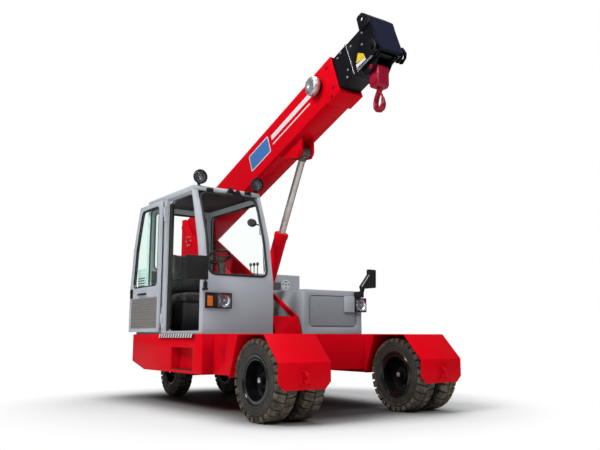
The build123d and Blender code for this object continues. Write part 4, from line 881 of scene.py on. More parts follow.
def softened(node: str, finish: Finish, body: str, width: float = 2.0) -> bpy.types.Object:
    """A copy of a CAD node with its sharp edges rounded, in the node's own place.

    Args:
        node: The CAD node.
        finish: Its finish.
        body: The body that it rides on.
        width: Width of the rounding in millimetres.

    Returns:
        The piece that stands for the node.
    """
    part = bmesh.new()
    part.from_mesh(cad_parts[node].data)
    bmesh.ops.remove_doubles(part, verts=part.verts, dist=2e-5)
    bmesh.ops.dissolve_limit(part, angle_limit=math.radians(0.6), verts=part.verts, edges=part.edges)
    data = bpy.data.meshes.new(node + "_skin")
    part.to_mesh(data)
    part.free()
    obj = linked(node + "_skin", data)
    bevel = obj.modifiers.new("edges", "BEVEL")
    bevel.width, bevel.segments, bevel.limit_method = width / 1000, 2, "ANGLE"
    bevel.angle_limit, bevel.use_clamp_overlap = math.radians(32), True
    return dress(settled(obj, bevel), finish, body, 40.0, [node])


def swollen(obj: bpy.types.Object, reach: float, voxel: float = 0.006, pressure: float = 4.0,
            frames: int = 20) -> None:
    """Fills a slack closed form by a cloth simulation under pressure, and keeps the shape that it takes.

    Args:
        obj: The object with the slack form.
        reach: The farthest, in metres, that any point may move.
        voxel: Cell size of the even mesh, in metres.
        pressure: Pressure inside the cloth.
        frames: Frames of the simulation.
    """
    remesh = obj.modifiers.new("even", "REMESH")
    remesh.mode, remesh.voxel_size = "VOXEL", voxel
    even = settled(obj, remesh).data
    start = [v.co.copy() for v in even.vertices]
    cloth = obj.modifiers.new("pressure", "CLOTH")
    cloth.settings.use_pressure = True
    cloth.settings.uniform_pressure_force = pressure
    cloth.settings.effector_weights.gravity = 0.0
    cloth.point_cache.frame_start, cloth.point_cache.frame_end = 1, frames
    for step in range(1, frames + 1):
        bpy.context.scene.frame_set(step)
    full = [v.co.copy() for v in obj.evaluated_get(bpy.context.evaluated_depsgraph_get()).data.vertices]
    obj.modifiers.remove(cloth)
    bpy.context.scene.frame_set(1)
    for vertex, slack, end in zip(even.vertices, start, full):
        move = end - slack
        vertex.co = slack + move * min(1.0, reach / max(move.length, 1e-9))


def painted(node: str, finish: Finish) -> None:
    """Gives a CAD node that stays its material."""
    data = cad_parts[node].data
    data.materials.clear()
    data.materials.append(Paintshop.get(finish))


@dataclass
class Wheels:
    """Twin front wheels and steered rear wheels with treaded solid tyres."""

    front_radius: float = 355.0
    front_half: float = 106.5
    front_rim: float = 206.0
    front_ys: tuple[float, float] = (949.0, 658.0)
    rear_radius: float = 295.0
    rear_half: float = 89.0
    rear_rim: float = 160.0
    rear_x: float = -2982.0
    rear_y: float = 384.0
    lugs: int = 28
    groove: float = 19.0

    def tyre(self, name: str, node: str, body: str, x: float, y: float, radius: float, half: float, rim: float) -> None:
        """One tyre: a turned carcass with sidewall rings, and staggered tread blocks on both shoulders."""
        base = radius - self.groove
        wall = radius - 52 - rim
        side = [(rim, half - 15), (rim + 6, half - 7), (rim + wall * 0.16, half - 5), (rim + wall * 0.2, half - 1),
                (rim + wall * 0.26, half - 1), (rim + wall * 0.3, half - 5), (rim + wall * 0.62, half - 3),
                (rim + wall * 0.8, half - 6), (rim + wall * 0.84, half - 1.5), (rim + wall * 0.9, half - 1.5),
                (rim + wall * 0.94, half - 6), (radius - 48, half - 8), (base - 16, half - 14), (base, half - 30)]
        profile = side + [(r, -y_) for r, y_ in reversed(side)]
        Form(name + "_carcass").turned(profile, (x, y, radius), steps=96).done(
            Finish.SIDEWALL, body, Slot.TYRE, stands_for=[node])
        for label, at, thick, finish in (("ring", radius - 68, 3.0, Finish.TYRE), ("bead", rim + 22, 3.5, Finish.SEAL)):
            rings = [upright(circle((x, radius), at, 72), y + sign * (half - 4)) for sign in (-1, 1)]
            swept(f"{name}_{label}", rings, thick, finish, body, sides=6)
        tau = math.tau / self.lugs
        for label, sign, start in (("left", 1, 0.0), ("right", -1, tau / 2)):
            rings = []
            for k in range(5):
                t = k / 4
                section = ((4.0, radius), (half * 0.55, radius), (half - 14, radius - 3), (half - 3, radius - 12),
                           (half, radius - 42), (half - 8, radius - 47), (half - 34, base - 8), (4.0, base - 4))
                ring = []
                for across, r in section:
                    lean = 0.3 * tau * (1 - across / half)
                    fill = 0.9 - 0.22 * (across / half) ** 2
                    angle = start + (t - 0.5) * tau * fill + lean
                    ring.append((x + r * math.sin(angle), y + sign * across, radius + r * math.cos(angle)))
                rings.append(ring)
            block = Form(f"{name}_tread_{label}").loft(rings)
            wheel_of(block, self.lugs, (x, y, radius), Finish.TYRE, body, Slot.TYRE)

    def rim(self, name: str, body: str, x: float, z: float, y: float, out: int, radius: float, half: float, dish: float,
            nodes: Sequence[str]) -> None:
        """One dished rim with its lock ring, disc, hub and wheel nuts."""
        disc = -dish
        bore = radius * 0.82
        profile = [(radius + 13, half - 9), (radius + 15, half - 4), (radius + 8, half), (radius - 2, half - 3),
                   (radius - 8, half - 11), (radius - 11, half - 11), (bore + 8, half - 8), (bore + 2, half - 11),
                   (bore, half - 18), (bore - 2, disc + 24), (bore, disc - 2), (radius - 12, disc - 8),
                   (radius - 6, -half + 6), (radius + 12, -half + 4), (radius + 12, -half + 10), (radius, -half + 16),
                   (radius, half - 14)]
        Form(name).turned(profile, (x, y, z), (0, out, 0), steps=72).done(Finish.RIM, body, Slot.BLACK, stands_for=nodes)
        profile = [(bore, disc + 20), (bore - 12, disc + 6), (radius * 0.62, disc + 4), (radius * 0.44, disc + 12),
                   (radius * 0.36, disc + 12), (radius * 0.34, disc + 54), (radius * 0.2, disc + 60),
                   (radius * 0.19, disc + 92), (radius * 0.12, disc + 98), (0, disc + 98), (0, disc - 8), (bore, disc - 8)]
        Form(name + "_disc").turned(profile, (x, y, z), (0, out, 0), steps=64).done(Finish.PIT, body, Slot.BLACK)
        at = radius * 0.56
        nut = Form(name + "_nuts").bar((x, y + out * (disc + 4), z + at), (x, y + out * (disc + 18), z + at), 11, sides=6)
        nut.bar((x, y + out * (disc + 4), z + at), (x, y + out * (disc + 26), z + at), 6, sides=12)
        wheel_of(nut, 8, (x, y, z), Finish.RIM, body, Slot.STEEL)
        cap = Form(name + "_cap").bar((x, y + out * (disc + 96), z), (x, y + out * (disc + 101), z), radius * 0.11, sides=24,
                                      bevel=1.5)
        cap.done(Finish.ZINC, body, Slot.STEEL)

    def build(self) -> None:
        """Makes every wheel."""
        for side, sign in (("right", -1), ("left", 1)):
            body = f"front_wheels_{side}"
            for place, y, out in (("outer", self.front_ys[0], sign), ("inner", self.front_ys[1], -sign)):
                node = f"front_tyre_{side}_{place}"
                self.tyre(f"front_{side}_{place}", node, body, 0, sign * y, self.front_radius, self.front_half, self.front_rim)
                self.rim(f"front_rim_{side}_{place}", body, 0, self.front_radius, sign * y, out, self.front_rim,
                         self.front_half, 38.0, [f"front_rims_{side}"])
            axle = Form(f"front_axle_{side}").bar((0, sign * 700, self.front_radius), (0, sign * 905, self.front_radius), 45)
            axle.done(Finish.STEEL, body, Slot.STEEL)
            body = f"rear_wheel_{side}"
            y = sign * self.rear_y
            self.tyre(f"rear_{side}", f"rear_tyre_{side}", body, self.rear_x, y, self.rear_radius, self.rear_half, self.rear_rim)
            self.rim(f"rear_rim_dish_{side}", body, self.rear_x, self.rear_radius, y, sign, self.rear_rim, self.rear_half,
                     8.0, [f"rear_rim_{side}"])


@dataclass
class Chassis:
    """Frame, mudguards, axle parts and the fittings on them."""

    deck: float = 750.0
    side_y: float = 1055.0
    grate: tuple[float, float] = (-1960.0, -1150.0)
    teeth: int = 14

    def build(self) -> None:
        """Makes the chassis pieces."""
        spots = [((397.0, side * y, z), (1, 0, 0)) for side in (-1, 1) for y in (762.0, 845.0) for z in (328.0, 442.0)]
        bolted("tow_plate_bolts", spots, 8, Finish.RED, "chassis")
        for node in ("chassis_frame", "mudguard_right", "mudguard_left", "axle_arm_right", "axle_arm_left"):
            softened(node, Finish.RED, "chassis")
        softened("counterweight", Finish.BALLAST, "chassis", 8.0)
        softened("rear_axle_beam", Finish.BLACK, "chassis")
        for side in ("right", "left"):
            softened(f"rear_knuckle_{side}", Finish.BLACK, f"rear_steer_{side}", 1.5)
        self.grating()
        self.step()
        self.tail_lamps()

    def grating(self) -> None:
        """Serrated step edge below the doorway; its black backing is painted shade in the gaps between the teeth."""
        x0, x1 = self.grate
        out = -self.side_y - 30
        # Black backing behind the teeth: painted shade for the gaps of the grating.
        frame_and_gap_shade = Form("step_edge_gap_shade").box((x0, out + 7, self.deck - 36), (x1, out + 30, self.deck - 2), 1.0)
        frame_and_gap_shade.done(Finish.SEAL, "chassis", Slot.STEEL, stands_for=["step_grating"])
        pitch = (x1 - x0 - 50) / (self.teeth - 1)
        low, high = self.deck - 38, self.deck + 4
        lean = [(x0, low), (x0 + 12, low - 0.5), (x0 + 25, low), (x0 + 50, high), (x0 + 38, high - 5), (x0 + 25, high)]
        tooth = Form("step_teeth").plate(lean, Axis.Y, out, out + 7, 0.8)
        row(tooth, self.teeth, (pitch, 0, 0), Finish.WHITE, "chassis", Slot.STEEL)

    def step(self) -> None:
        """Tread plate with raised bars in the recess of the right side."""
        x0, x1, z = -1680.0, -1194.0, 387.0
        Form("step_tread").box((x0, -1050, z), (x1, -955, z + 5), 1.0).done(Finish.STEEL, "chassis", Slot.STEEL)
        bar = Form("step_tread_bars").box((x0 + 12, -1044, z + 4.5), (x0 + 20, -962, z + 7.5), 1.0)
        row(bar, 20, (24.2, 0, 0), Finish.STEEL, "chassis", Slot.STEEL)

    def tail_lamps(self) -> None:
        """Lamp pair on the tapered corners of the tail."""
        for side, sign in (("right", -1), ("left", 1)):
            form = Form(f"tail_lamp_body_{side}", sign)
            form.box((-3492, 380, 655), (-3478, 500, 735), 3.0)
            form.done(Finish.PLASTIC, "chassis", Slot.PLASTIC)
            Form(f"tail_lamp_red_{side}", sign).box((-3500, 386, 662), (-3490, 440, 728), 4.0).done(
                Finish.TAIL, "chassis", Slot.PLASTIC)
            Form(f"tail_lamp_amber_{side}", sign).box((-3500, 443, 662), (-3490, 494, 728), 4.0).done(
                Finish.AMBER, "chassis", Slot.PLASTIC)


@dataclass
class Tower:
    """Tower plates with the boom pivot."""

    pivot: Flat = (-3170.0, 1977.0)

    def build(self) -> None:
        """Makes the tower and the bolts round its pivot pin."""
        softened("tower", Finish.RED, "chassis")
        spots = both_sides(circle(self.pivot, 64, 6), 177)
        bolted("pivot_bolts", spots, 8, Finish.ZINC, "chassis")


@dataclass
class Bodywork:
    """Hoods, engine block and the box ahead of the left hood."""

    box_front: float = -1044.0

    def build(self) -> None:
        """Makes the bodywork."""
        softened("hood_right", Finish.BOX, "chassis", 6.0)
        softened("hood_left", Finish.BOX, "chassis", 6.0)
        softened("front_box", Finish.BOX, "chassis", 4.0)
        painted("engine_block", Finish.IRON)
        panel = rounded(rectangle(274, 932, 834, 1171), 52)
        # The panel's darker grey is painted shade between the ribs.
        Form("front_box_panel").plate(panel, Axis.X, -1052, -1046, 1.5).done(Finish.PANEL_GROOVE_SHADE, "chassis", Slot.GREY)
        rib = Form("front_box_ribs").box((-1047, 296, 852), (-1045, 910, 856), 0.6)
        row(rib, 26, (0, 0, 12), Finish.BOX, "chassis", Slot.GREY)
        swept("front_box_groove", [[(-1050, y, z) for y, z in rounded(rectangle(270, 936, 830, 1175), 56)]], 3,
              Finish.SEAL, "chassis")
        self.grille()
        self.lamp()
        self.mirror()
        self.latches()

    def grille(self) -> None:
        """Black slatted grille in the front of the left hood."""
        slat = Form("hood_front_slats").box((-2301, 434, 1315), (-2297, 723, 1319), 0.8)
        row(slat, 12, (0, 0, 8.3), Finish.SLAT, "chassis", Slot.PLASTIC)
        Form("hood_front_screen").box((-2304, 431, 1312), (-2299.5, 726, 1411), 1.0).done(
            Finish.PLASTIC, "chassis", Slot.PLASTIC)
        Form("hood_front_disc").bar((-2300.5, 801, 1385), (-2296, 801, 1385), 68, sides=48).done(
            Finish.WHITE, "chassis", Slot.GREY)
        dots = Form("hood_front_disc_dots").box((-2297, 778, 1418), (-2295, 824, 1430), 0.5)
        for y, z in ((757, 1392), (801, 1386), (845, 1392), (801, 1344)):
            dots.bar((-2297, y, z), (-2295, y, z), 10, sides=16)
        dots.done(Finish.SEAL, "chassis", Slot.GREY)
        for side, sign in (("right", -1), ("left", 1)):
            slat = Form(f"hood_side_slats_{side}", sign).box((-2745, 1018, 1130), (-2555, 1026, 1140), 2.0)
            row(slat, 10, (0, 0, 30), Finish.PLASTIC, "chassis", Slot.PLASTIC)

    def lamp(self) -> None:
        """Headlamp on the box, on its bracket."""
        x = self.box_front
        bracket = Form("headlamp_left_bracket").box((x, 757, 998), (x + 46, 880, 1176), 3.0)
        bracket.done(Finish.BOX, "chassis", Slot.GREY)
        Headlamp("left", x, 64.0, 880, 1040, 1000, 1160, 0.0).build(["headlamp_left"])

    def mirror(self) -> None:
        """Mirror on its cranked arm at the box's corner."""
        arm = Form("mirror_left_arm").plate([(950, 1220), (1003, 1220), (1020, 1275), (960, 1275)], Axis.X, -1000, -978, 4.0)
        arm.box((self.box_front, 906, 1167), (-977, 1002, 1228), 4.0)
        arm.bar((-988, 925, 1228), (-988, 925, 1236), 9, sides=16, bevel=1)
        arm.done(Finish.PLASTIC, "chassis", Slot.PLASTIC)
        outline = rounded([(1017, 1269), (1175, 1284), (1180, 1495), (1065, 1497), (1064, 1436), (946, 1290), (959, 1257)], 12)
        case = Form("mirror_left_case").plate(outline, Axis.X, -1003, -961, 6.0)
        case.done(Finish.PLASTIC, "chassis", Slot.PLASTIC, stands_for=["mirror_left"])
        swept("mirror_left_edge", [[(-960, 957, 1290), (-960, 1070, 1430)]], 3.5, Finish.WHITE, "chassis",
              closed=False)
        glass = rounded([(1030, 1284), (1166, 1296), (1170, 1484), (1076, 1486), (1074, 1432), (966, 1292)], 8)
        Form("mirror_left_face").plate(glass, Axis.X, -1004, -1001, 0.8).done(Finish.CHROME, "chassis", Slot.STEEL)

    def latches(self) -> None:
        """Flush latches and the seam of the lid."""
        for x in (-2150, -1250):
            Form(f"box_latch_{abs(x)}").box((x - 40, 1015, 1150), (x + 40, 1021, 1190), 2.0).bar(
                (x, 1020, 1170), (x, 1026, 1170), 12).done(Finish.PLASTIC, "chassis", Slot.PLASTIC)
        swept("box_lid_seam", [[(-2286, 190.5, 1200), (-2286, 1016.5, 1200), (-1044, 1016.5, 1200)]], 1.6, Finish.SEAL,
              "chassis", closed=False)


@dataclass
class Headlamp:
    """Rectangular headlamp with reflector, lens and, on the right one, an indicator."""

    side: str
    x: float
    depth: float
    y0: float
    y1: float
    z0: float
    z1: float
    indicator: float

    def build(self, nodes: Sequence[str]) -> None:
        """Makes the lamp's housing, reflector and lenses."""
        x, front = self.x, self.x + self.depth
        y0, y1, z0, z1 = self.y0, self.y1, self.z0, self.z1
        case = Form(f"headlamp_{self.side}_case")
        case.box((x, y0, z0), (front - 12, y1, z1), 5.0)
        rim = 9.0
        for low, high in (((y0, z0), (y1, z0 + rim)), ((y0, z1 - rim), (y1, z1)), ((y0, z0), (y0 + rim, z1)),
                          ((y1 - rim, z0), (y1, z1))):
            case.box((x, low[0], low[1]), (front, high[0], high[1]), 2.5)
        if self.indicator:
            case.box((x, y0 + self.indicator, z0), (front - 2, y0 + self.indicator + 46, z1), 3.0)
        case.done(Finish.PLASTIC, "chassis", Slot.PLASTIC, stands_for=nodes)
        left = y0 + (self.indicator + 46 if self.indicator else rim)
        right, low, high = y1 - rim, z0 + rim + 2, z1 - rim - 2
        middle = ((left + right) / 2, (low + high) / 2)
        half = min(right - left, high - low) / 2
        bowl = [(half * 0.99, 9), (half * 0.85, 3), (half * 0.5, -3), (half * 0.2, -6), (0, -6), (0, -9), (half, -9), (half, 9)]
        Form(f"headlamp_{self.side}_bowl").turned(bowl, (front - 12, *middle), (1, 0, 0), 40).ball(
            (front - 12, *middle), 11).done(Finish.REFLECTOR, "chassis", Slot.STEEL)
        Form(f"headlamp_{self.side}_lens").box((front - 8, left, low), (front - 3, right, high), 2.0).done(
            Finish.LENS, "chassis", Slot.GLASS)
        rib = Form(f"headlamp_{self.side}_ribs").box((front - 3.5, left + 4, low + 4), (front - 2, left + 6.5, high - 4), 0.5)
        row(rib, 11, (0, (right - left - 10) / 10.5, 0), Finish.LENS, "chassis", Slot.GLASS)
        if self.indicator:
            Form("indicator_right").box((front - 10, y0 + rim, z0 + rim + 10), (front + 3, y0 + self.indicator - 10, z1 - rim - 24),
                                        6.0).done(Finish.AMBER, "chassis", Slot.PLASTIC)


@dataclass
class Cab:
    """Cab shell with its glass, seals, lamps, mirror, wiper and interior."""

    right: float = -1025.0
    left: float = -200.0
    rear: float = -2495.0
    roof: float = 2310.0
    screen: tuple[float, float, float, float] = (-953.0, -272.0, 1350.0, 2225.0)
    line: tuple[Flat, ...] = ((-1044.0, 1310.0), (-1070.0, 1425.0), (-1130.0, 1741.0), (-1238.0, 2038.0), (-1333.0, 2260.0))
    hinge: Flat = (-2000.0, -1035.0)
    door_back: float = 30.0
    door_width: float = 842.0
    door_face: float = -1073.0
    slack: float = 16.0

    def front_x(self, z: float) -> float:
        """X of the cab's front skin at a height."""
        points = ((-1044.0, 0.0),) + self.line
        for (x0, z0), (x1, z1) in zip(points, points[1:]):
            if z <= z1:
                return x0 + (x1 - x0) * (z - z0) / (z1 - z0)
        return points[-1][0]

    def build(self) -> None:
        """Makes the cab."""
        softened("cab_shell", Finish.CAB, "chassis", 3.0)
        softened("cab_roof", Finish.CAB, "chassis", 5.0)
        for node in ("windscreen", "glass_quarter", "glass_left", "glass_rear"):
            painted(node, Finish.GLASS)
        painted("door_glass", Finish.TINTED)
        softened("cab_door", Finish.CAB, "cab_door", 1.5)
        self.seals()
        self.door_fittings()
        self.lamps()
        self.wipers()
        self.mirrors()
        self.trim()
        self.seat()
        self.controls()
        Headlamp("right", -1044.0, 36.0, -1004, -716, 1003, 1158, 82.0).build(["headlamp_right"])

    def screen_path(self, grow: float) -> list[Point]:
        """Path round the windscreen on the bent front skin."""
        y0, y1, z0, z1 = self.screen
        corners = rounded(rectangle(y0 - grow, y1 + grow, z0 - grow, z1 + grow), 85, 8)
        path: list[Point] = []
        for (ya, za), (yb, zb) in zip(corners, corners[1:] + corners[:1]):
            steps = max(1, round(abs(zb - za) / 70))
            for k in range(steps):
                y, z = ya + (yb - ya) * k / steps, za + (zb - za) * k / steps
                path.append((self.front_x(z) + 1, y, z))
        return path

    def seals(self) -> None:
        """Rubber round every pane and the doorway."""
        quarter = rounded(rectangle(-2415, -2075, 1290, 2180), 60, 6)
        side = rounded([(-2415, 1290), (-1160, 1290), (-1205, 1741), (-1305, 2038), (-1365, 2180), (-2415, 2180)], 60, 6)
        back = rounded(rectangle(self.right + 80, self.left - 80, 1500, 2180), 60, 6)
        front = self.hinge[0] + self.door_back + self.door_width
        way = [(-1910, 782), (front - 36, 782), (front - 36, 1292), (front - 102, 1580), (front - 214, 1988),
               (front - 290, 2225), (-1910, 2225)]
        for name, path, radius in (
                ("windscreen_seal", self.screen_path(3), 14),
                ("quarter_seal", upright(quarter, self.right - 1), 9),
                ("left_window_seal", upright(side, self.left + 1), 9),
                ("left_window_seal_inside", upright(side, self.left - 31), 9),
                ("rear_window_seal", [(self.rear - 1, y, z) for y, z in back], 9),
                ("rear_window_seal_inside", [(self.rear + 31, y, z) for y, z in back], 9),
                ("doorway_seal", upright(rounded(way, 36, 5), -984), 6)):
            swept(name, [path], radius, Finish.SEAL, "chassis")
        gasket = rounded([(-1978, 784), (-1906, 784), (-1906, 2150), (-1880, 2200), (-1978, 2200)], 6)
        rubber = Form("doorway_gasket").plate(gasket, Axis.Y, -992.4, -991.4, 0)
        rubber.box((-1911, -993, 786), (-1904, -966, 2190), 1.0).box((-1980.5, -1024, 786), (-1977, -992, 2190), 1.0)
        rubber.done(Finish.SEAL, "chassis", Slot.PLASTIC)

    def folded(self, x: float) -> float:
        """X on the folded-back door for an X on the closed one."""
        return 2 * self.hinge[0] - x

    def door_fittings(self) -> None:
        """Seal of the door's window, gasket at its edge and the latch."""
        rear = self.hinge[0] + self.door_back
        front = rear + self.door_width
        slope = [(front - 116, 1431), (front - 160, 1741), (front - 251, 2038)]
        window = [(rear + 58, 1290), (front - 96, 1290), *slope, (front - 251 - 147 * 0.36, 2185), (rear + 58, 2185)]
        loop = [(self.folded(x), z) for x, z in rounded(window, 60, 6)]
        for y, radius, name in ((-1066.5, 9, "door_window_seal"), (-1044, 10, "door_window_seal_inside")):
            swept(name, [[(x, y, z) for x, z in loop]], radius, Finish.SEAL, "cab_door")
        edge = [(self.folded(front - 12), 800), (self.folded(front - 12), 1296), (self.folded(front - 88), 1741),
                (self.folded(front - 180), 2038), (self.folded(front - 246), 2230)]
        swept("door_edge_gasket", [[(x, -1043, z) for x, z in edge]], 6, Finish.SEAL, "cab_door", closed=False)
        out = self.door_face
        x0, x1, z0, pitch = -2814.0, -2066.0, 815.0, 21.56
        blade = [(out + 2, z0 + pitch * 0.78), (out - 1, z0 + pitch * 0.62), (out - 1, z0 + pitch * 0.06), (out + 2, z0 + pitch * 0.2)]
        row(Form("door_louvre_shades").plate(blade, Axis.X, x0, x1, 0), 16, (0, 0, pitch), Finish.SLAT, "cab_door", Slot.CAB)
        frame_path = [(x, out + 2, z) for x, z in rounded(rectangle(x0 - 6, x1 + 6, z0 - 8, z0 + 16 * pitch + 4), 14, 4)]
        swept("door_louvre_rim", [frame_path], 3.5, Finish.CAB, "cab_door")
        handle = Form("door_handle").box((-2562, out - 31.5, 1194), (-2358, out - 16.5, 1216), 3.0)
        for x in (-2554, -2366):
            handle.box((x - 10, out - 31, 1194), (x + 10, out - 4, 1216), 3.0)
        handle.done(Finish.PLASTIC, "cab_door", Slot.PLASTIC)
        latch = Form("door_latch").box((-2829.5, out - 15.5, 1170.5), (-2776.5, out + 1, 1277.5), 3.0)
        latch.bar((-2803, out - 15, 1250), (-2803, out - 24, 1250), 15, sides=24, bevel=2)
        latch.done(Finish.PLASTIC, "cab_door", Slot.PLASTIC)

    def lamps(self) -> None:
        """Round work lamps above the windscreen, each with a grid over its lens."""
        for side, y in (("right", -945.0), ("left", -240.0)):
            x, z, radius = -1363.0, 2400.0, 78.0
            shell = [(0, -18), (30, -18), (56, -6), (72, 14), (78, 30), (78, 50), (72, 52), (70, 46), (66, 36), (50, 12),
                     (20, 2), (0, 0)]
            Form(f"work_lamp_shell_{side}").turned(shell, (x, y, z), (1, 0, 0), 48).done(
                Finish.PLASTIC, "chassis", Slot.PLASTIC, stands_for=[f"work_lamp_{side}"])
            bowl = [(0, 3), (20, 6), (48, 18), (65, 38), (66, 36), (50, 13), (20, 3), (0, 1.5)]
            Form(f"work_lamp_bowl_{side}").turned(bowl, (x, y, z), (1, 0, 0), 40).done(
                Finish.SMOKED, "chassis", Slot.STEEL)
            Form(f"work_lamp_bulb_{side}").ball((x + 16, y, z), 13).done(Finish.REFLECTOR, "chassis", Slot.STEEL)
            lens = [(0, 47), (60, 44), (69, 42), (69, 39), (0, 42)]
            Form(f"work_lamp_lens_{side}").turned(lens, (x, y, z), (1, 0, 0), 40).done(Finish.LENS, "chassis", Slot.GLASS)
            guard = Form(f"work_lamp_guard_{side}")
            for k in range(-3, 4):
                reach = math.sqrt(max(0.0, (radius - 7) ** 2 - (k * 18) ** 2))
                guard.box((x + 49, y - reach, z + k * 18 - 1.5), (x + 52, y + reach, z + k * 18 + 1.5), 0.5)
                guard.box((x + 49, y + k * 18 - 1.5, z - reach), (x + 52, y + k * 18 + 1.5, z + reach), 0.5)
            guard.done(Finish.PLASTIC, "chassis", Slot.PLASTIC)
            foot = Form(f"work_lamp_bracket_{side}")
            foot.box((x - 9, y - 18, self.roof - 1), (x + 19, y + 18, self.roof + 5), 1.5)
            foot.box((x + 1, y - 14, self.roof), (x + 9, y + 14, z - radius + 14), 1.5)
            foot.bar((x + 5, y - 20, self.roof + 22), (x + 5, y + 20, self.roof + 22), 6, sides=16)
            foot.done(Finish.BLACK, "chassis", Slot.BLACK)

    def wipers(self) -> None:
        """Wiper spindles and nozzles above the windscreen, with the parked arm and its blade."""
        x = self.front_x(2270)
        motors = Form("wiper_spindles")
        for y, z in ((-828, 2272), (-360, 2290)):
            motors.box((x - 10, y - 36, z - 20), (x + 22, y + 36, z + 20), 6.0)
            motors.bar((x + 10, y - 18, z), (x + 34, y - 18, z - 6), 12, sides=16, bevel=2)
            motors.bar((x + 8, y + 20, z - 12), (x + 26, y + 34, z - 34), 8, sides=12, bevel=2)
        motors.plate([(-628, 2262), (-590, 2326), (-566, 2326), (-520, 2262)], Axis.X, x - 8, x + 18, 4.0)
        motors.plate([(-548, 2250), (-500, 2308), (-470, 2300), (-440, 2246)], Axis.X, x - 8, x + 20, 4.0)
        motors.bar((x + 12, -578, 2300), (x + 36, -578, 2298), 14, sides=20, bevel=2)
        motors.bar((x + 12, -487, 2278), (x + 36, -487, 2276), 14, sides=20, bevel=2)
        motors.done(Finish.PLASTIC, "chassis", Slot.PLASTIC)
        arms = Form("wiper_arms")
        arms.bar((x + 30, -578, 2298), (x + 38, -478, 2220), 8, sides=12)
        arms.bar((x + 30, -487, 2276), (x + 40, -410, 2200), 8, sides=12)
        arms.box((x + 30, -500, 2216), (x + 44, -392, 2236), 3.0)
        arms.done(Finish.PLASTIC, "chassis", Slot.PLASTIC)
        blade = [(self.front_x(2238) + 12, y, 2236) for y in (-760, -640, -520, -400)]
        swept("wiper_blade", [blade], 6, Finish.SEAL, "chassis", closed=False)

    def mirrors(self) -> None:
        """Square mirror on its clamp, and the small one inside the left post."""
        outline = rounded(rectangle(-1250, -1012, 1277, 1515), 16)
        Form("mirror_right_case").plate(outline, Axis.X, -1003, -961, 8.0).done(
            Finish.PLASTIC, "chassis", Slot.PLASTIC, stands_for=["mirror_right"])
        face = rounded(rectangle(-1240, -1022, 1287, 1505), 10)
        Form("mirror_right_face").plate(face, Axis.X, -1005.5, -1002, 0.8).done(Finish.CHROME, "chassis", Slot.STEEL)
        arm = Form("mirror_right_arm").bar((-990, -1030, 1176), (-990, -1030, 1288), 9, sides=20)
        arm.box((-1044, -1040, 1176), (-981, -1002, 1200), 4.0).box((-1010, -1046, 1200), (-975, -1012, 1262), 5.0)
        arm.done(Finish.PLASTIC, "chassis", Slot.PLASTIC)
        inner = Form("inside_mirror").ball((-1290, -324, 1956), 48, (0.3, 1.25, 0.96))
        inner.bar((-1290, -324, 1956), (-1268, -222, 1930), 8, sides=12).bar((-1268, -238, 1930), (-1240, -244, 1825), 9, sides=12)
        inner.box((-1282, -240, 1905), (-1250, -214, 1950), 4.0)
        inner.done(Finish.PLASTIC, "chassis", Slot.PLASTIC)

    def trim(self) -> None:
        """Near-black lining of floor, walls and roof; its darkness is partly painted shade inside the cab."""
        for name, low, high, bevel in (
                ("cab_floor_mat", (-2460, -958, 765), (-1080, -236, 771), 2.0),
                ("cab_rear_lining", (-2464, -990, 772), (-2456, -236, 1480), 4.0),
                ("cab_left_lining", (-2450, -238, 772), (-1110, -231, 1272), 3.0),
                ("cab_front_lining", (-1083, -985, 772), (-1076, -236, 1300), 3.0),
                ("cab_roof_lining", (-2450, -985, 2246), (-1370, -240, 2258), 4.0)):
            Form(name).box(low, high, bevel).done(Finish.TRIM_AND_SHADE, "chassis", Slot.PLASTIC)

    def seat(self) -> None:
        """Seat with crowned cushions, sewn channels and arm rests."""
        low, high = drawn_box("seat")
        cushion_top = low.z + 120
        self.pad("seat_cushion", (low.x + 22, low.y, low.z), (high.x, high.y, cushion_top), 2, ["seat"])
        tilt = LAYOUT @ Matrix.Translation((low.x + 28, 0, cushion_top + 6)) @ Matrix.Rotation(math.radians(-3.6), 4, "Y")
        self.pad("seat_backrest", (0, low.y + 8, 0), (88, high.y - 8, high.z - cushion_top - 6), 0, [], tilt)
        softened("seat_base", Finish.PLASTIC, "chassis", 10.0)
        for side, y in (("right", low.y - 44), ("left", high.y + 6)):
            rest = Form(f"seat_arm_{side}").box((low.x + 60, y, cushion_top + 118), (high.x - 60, y + 38, cushion_top + 150), 12.0)
            rest.box((low.x + 64, y + 8, cushion_top + 30), (low.x + 96, y + 30, cushion_top + 130), 6.0)
            rest.done(Finish.PLASTIC, "chassis", Slot.PLASTIC)

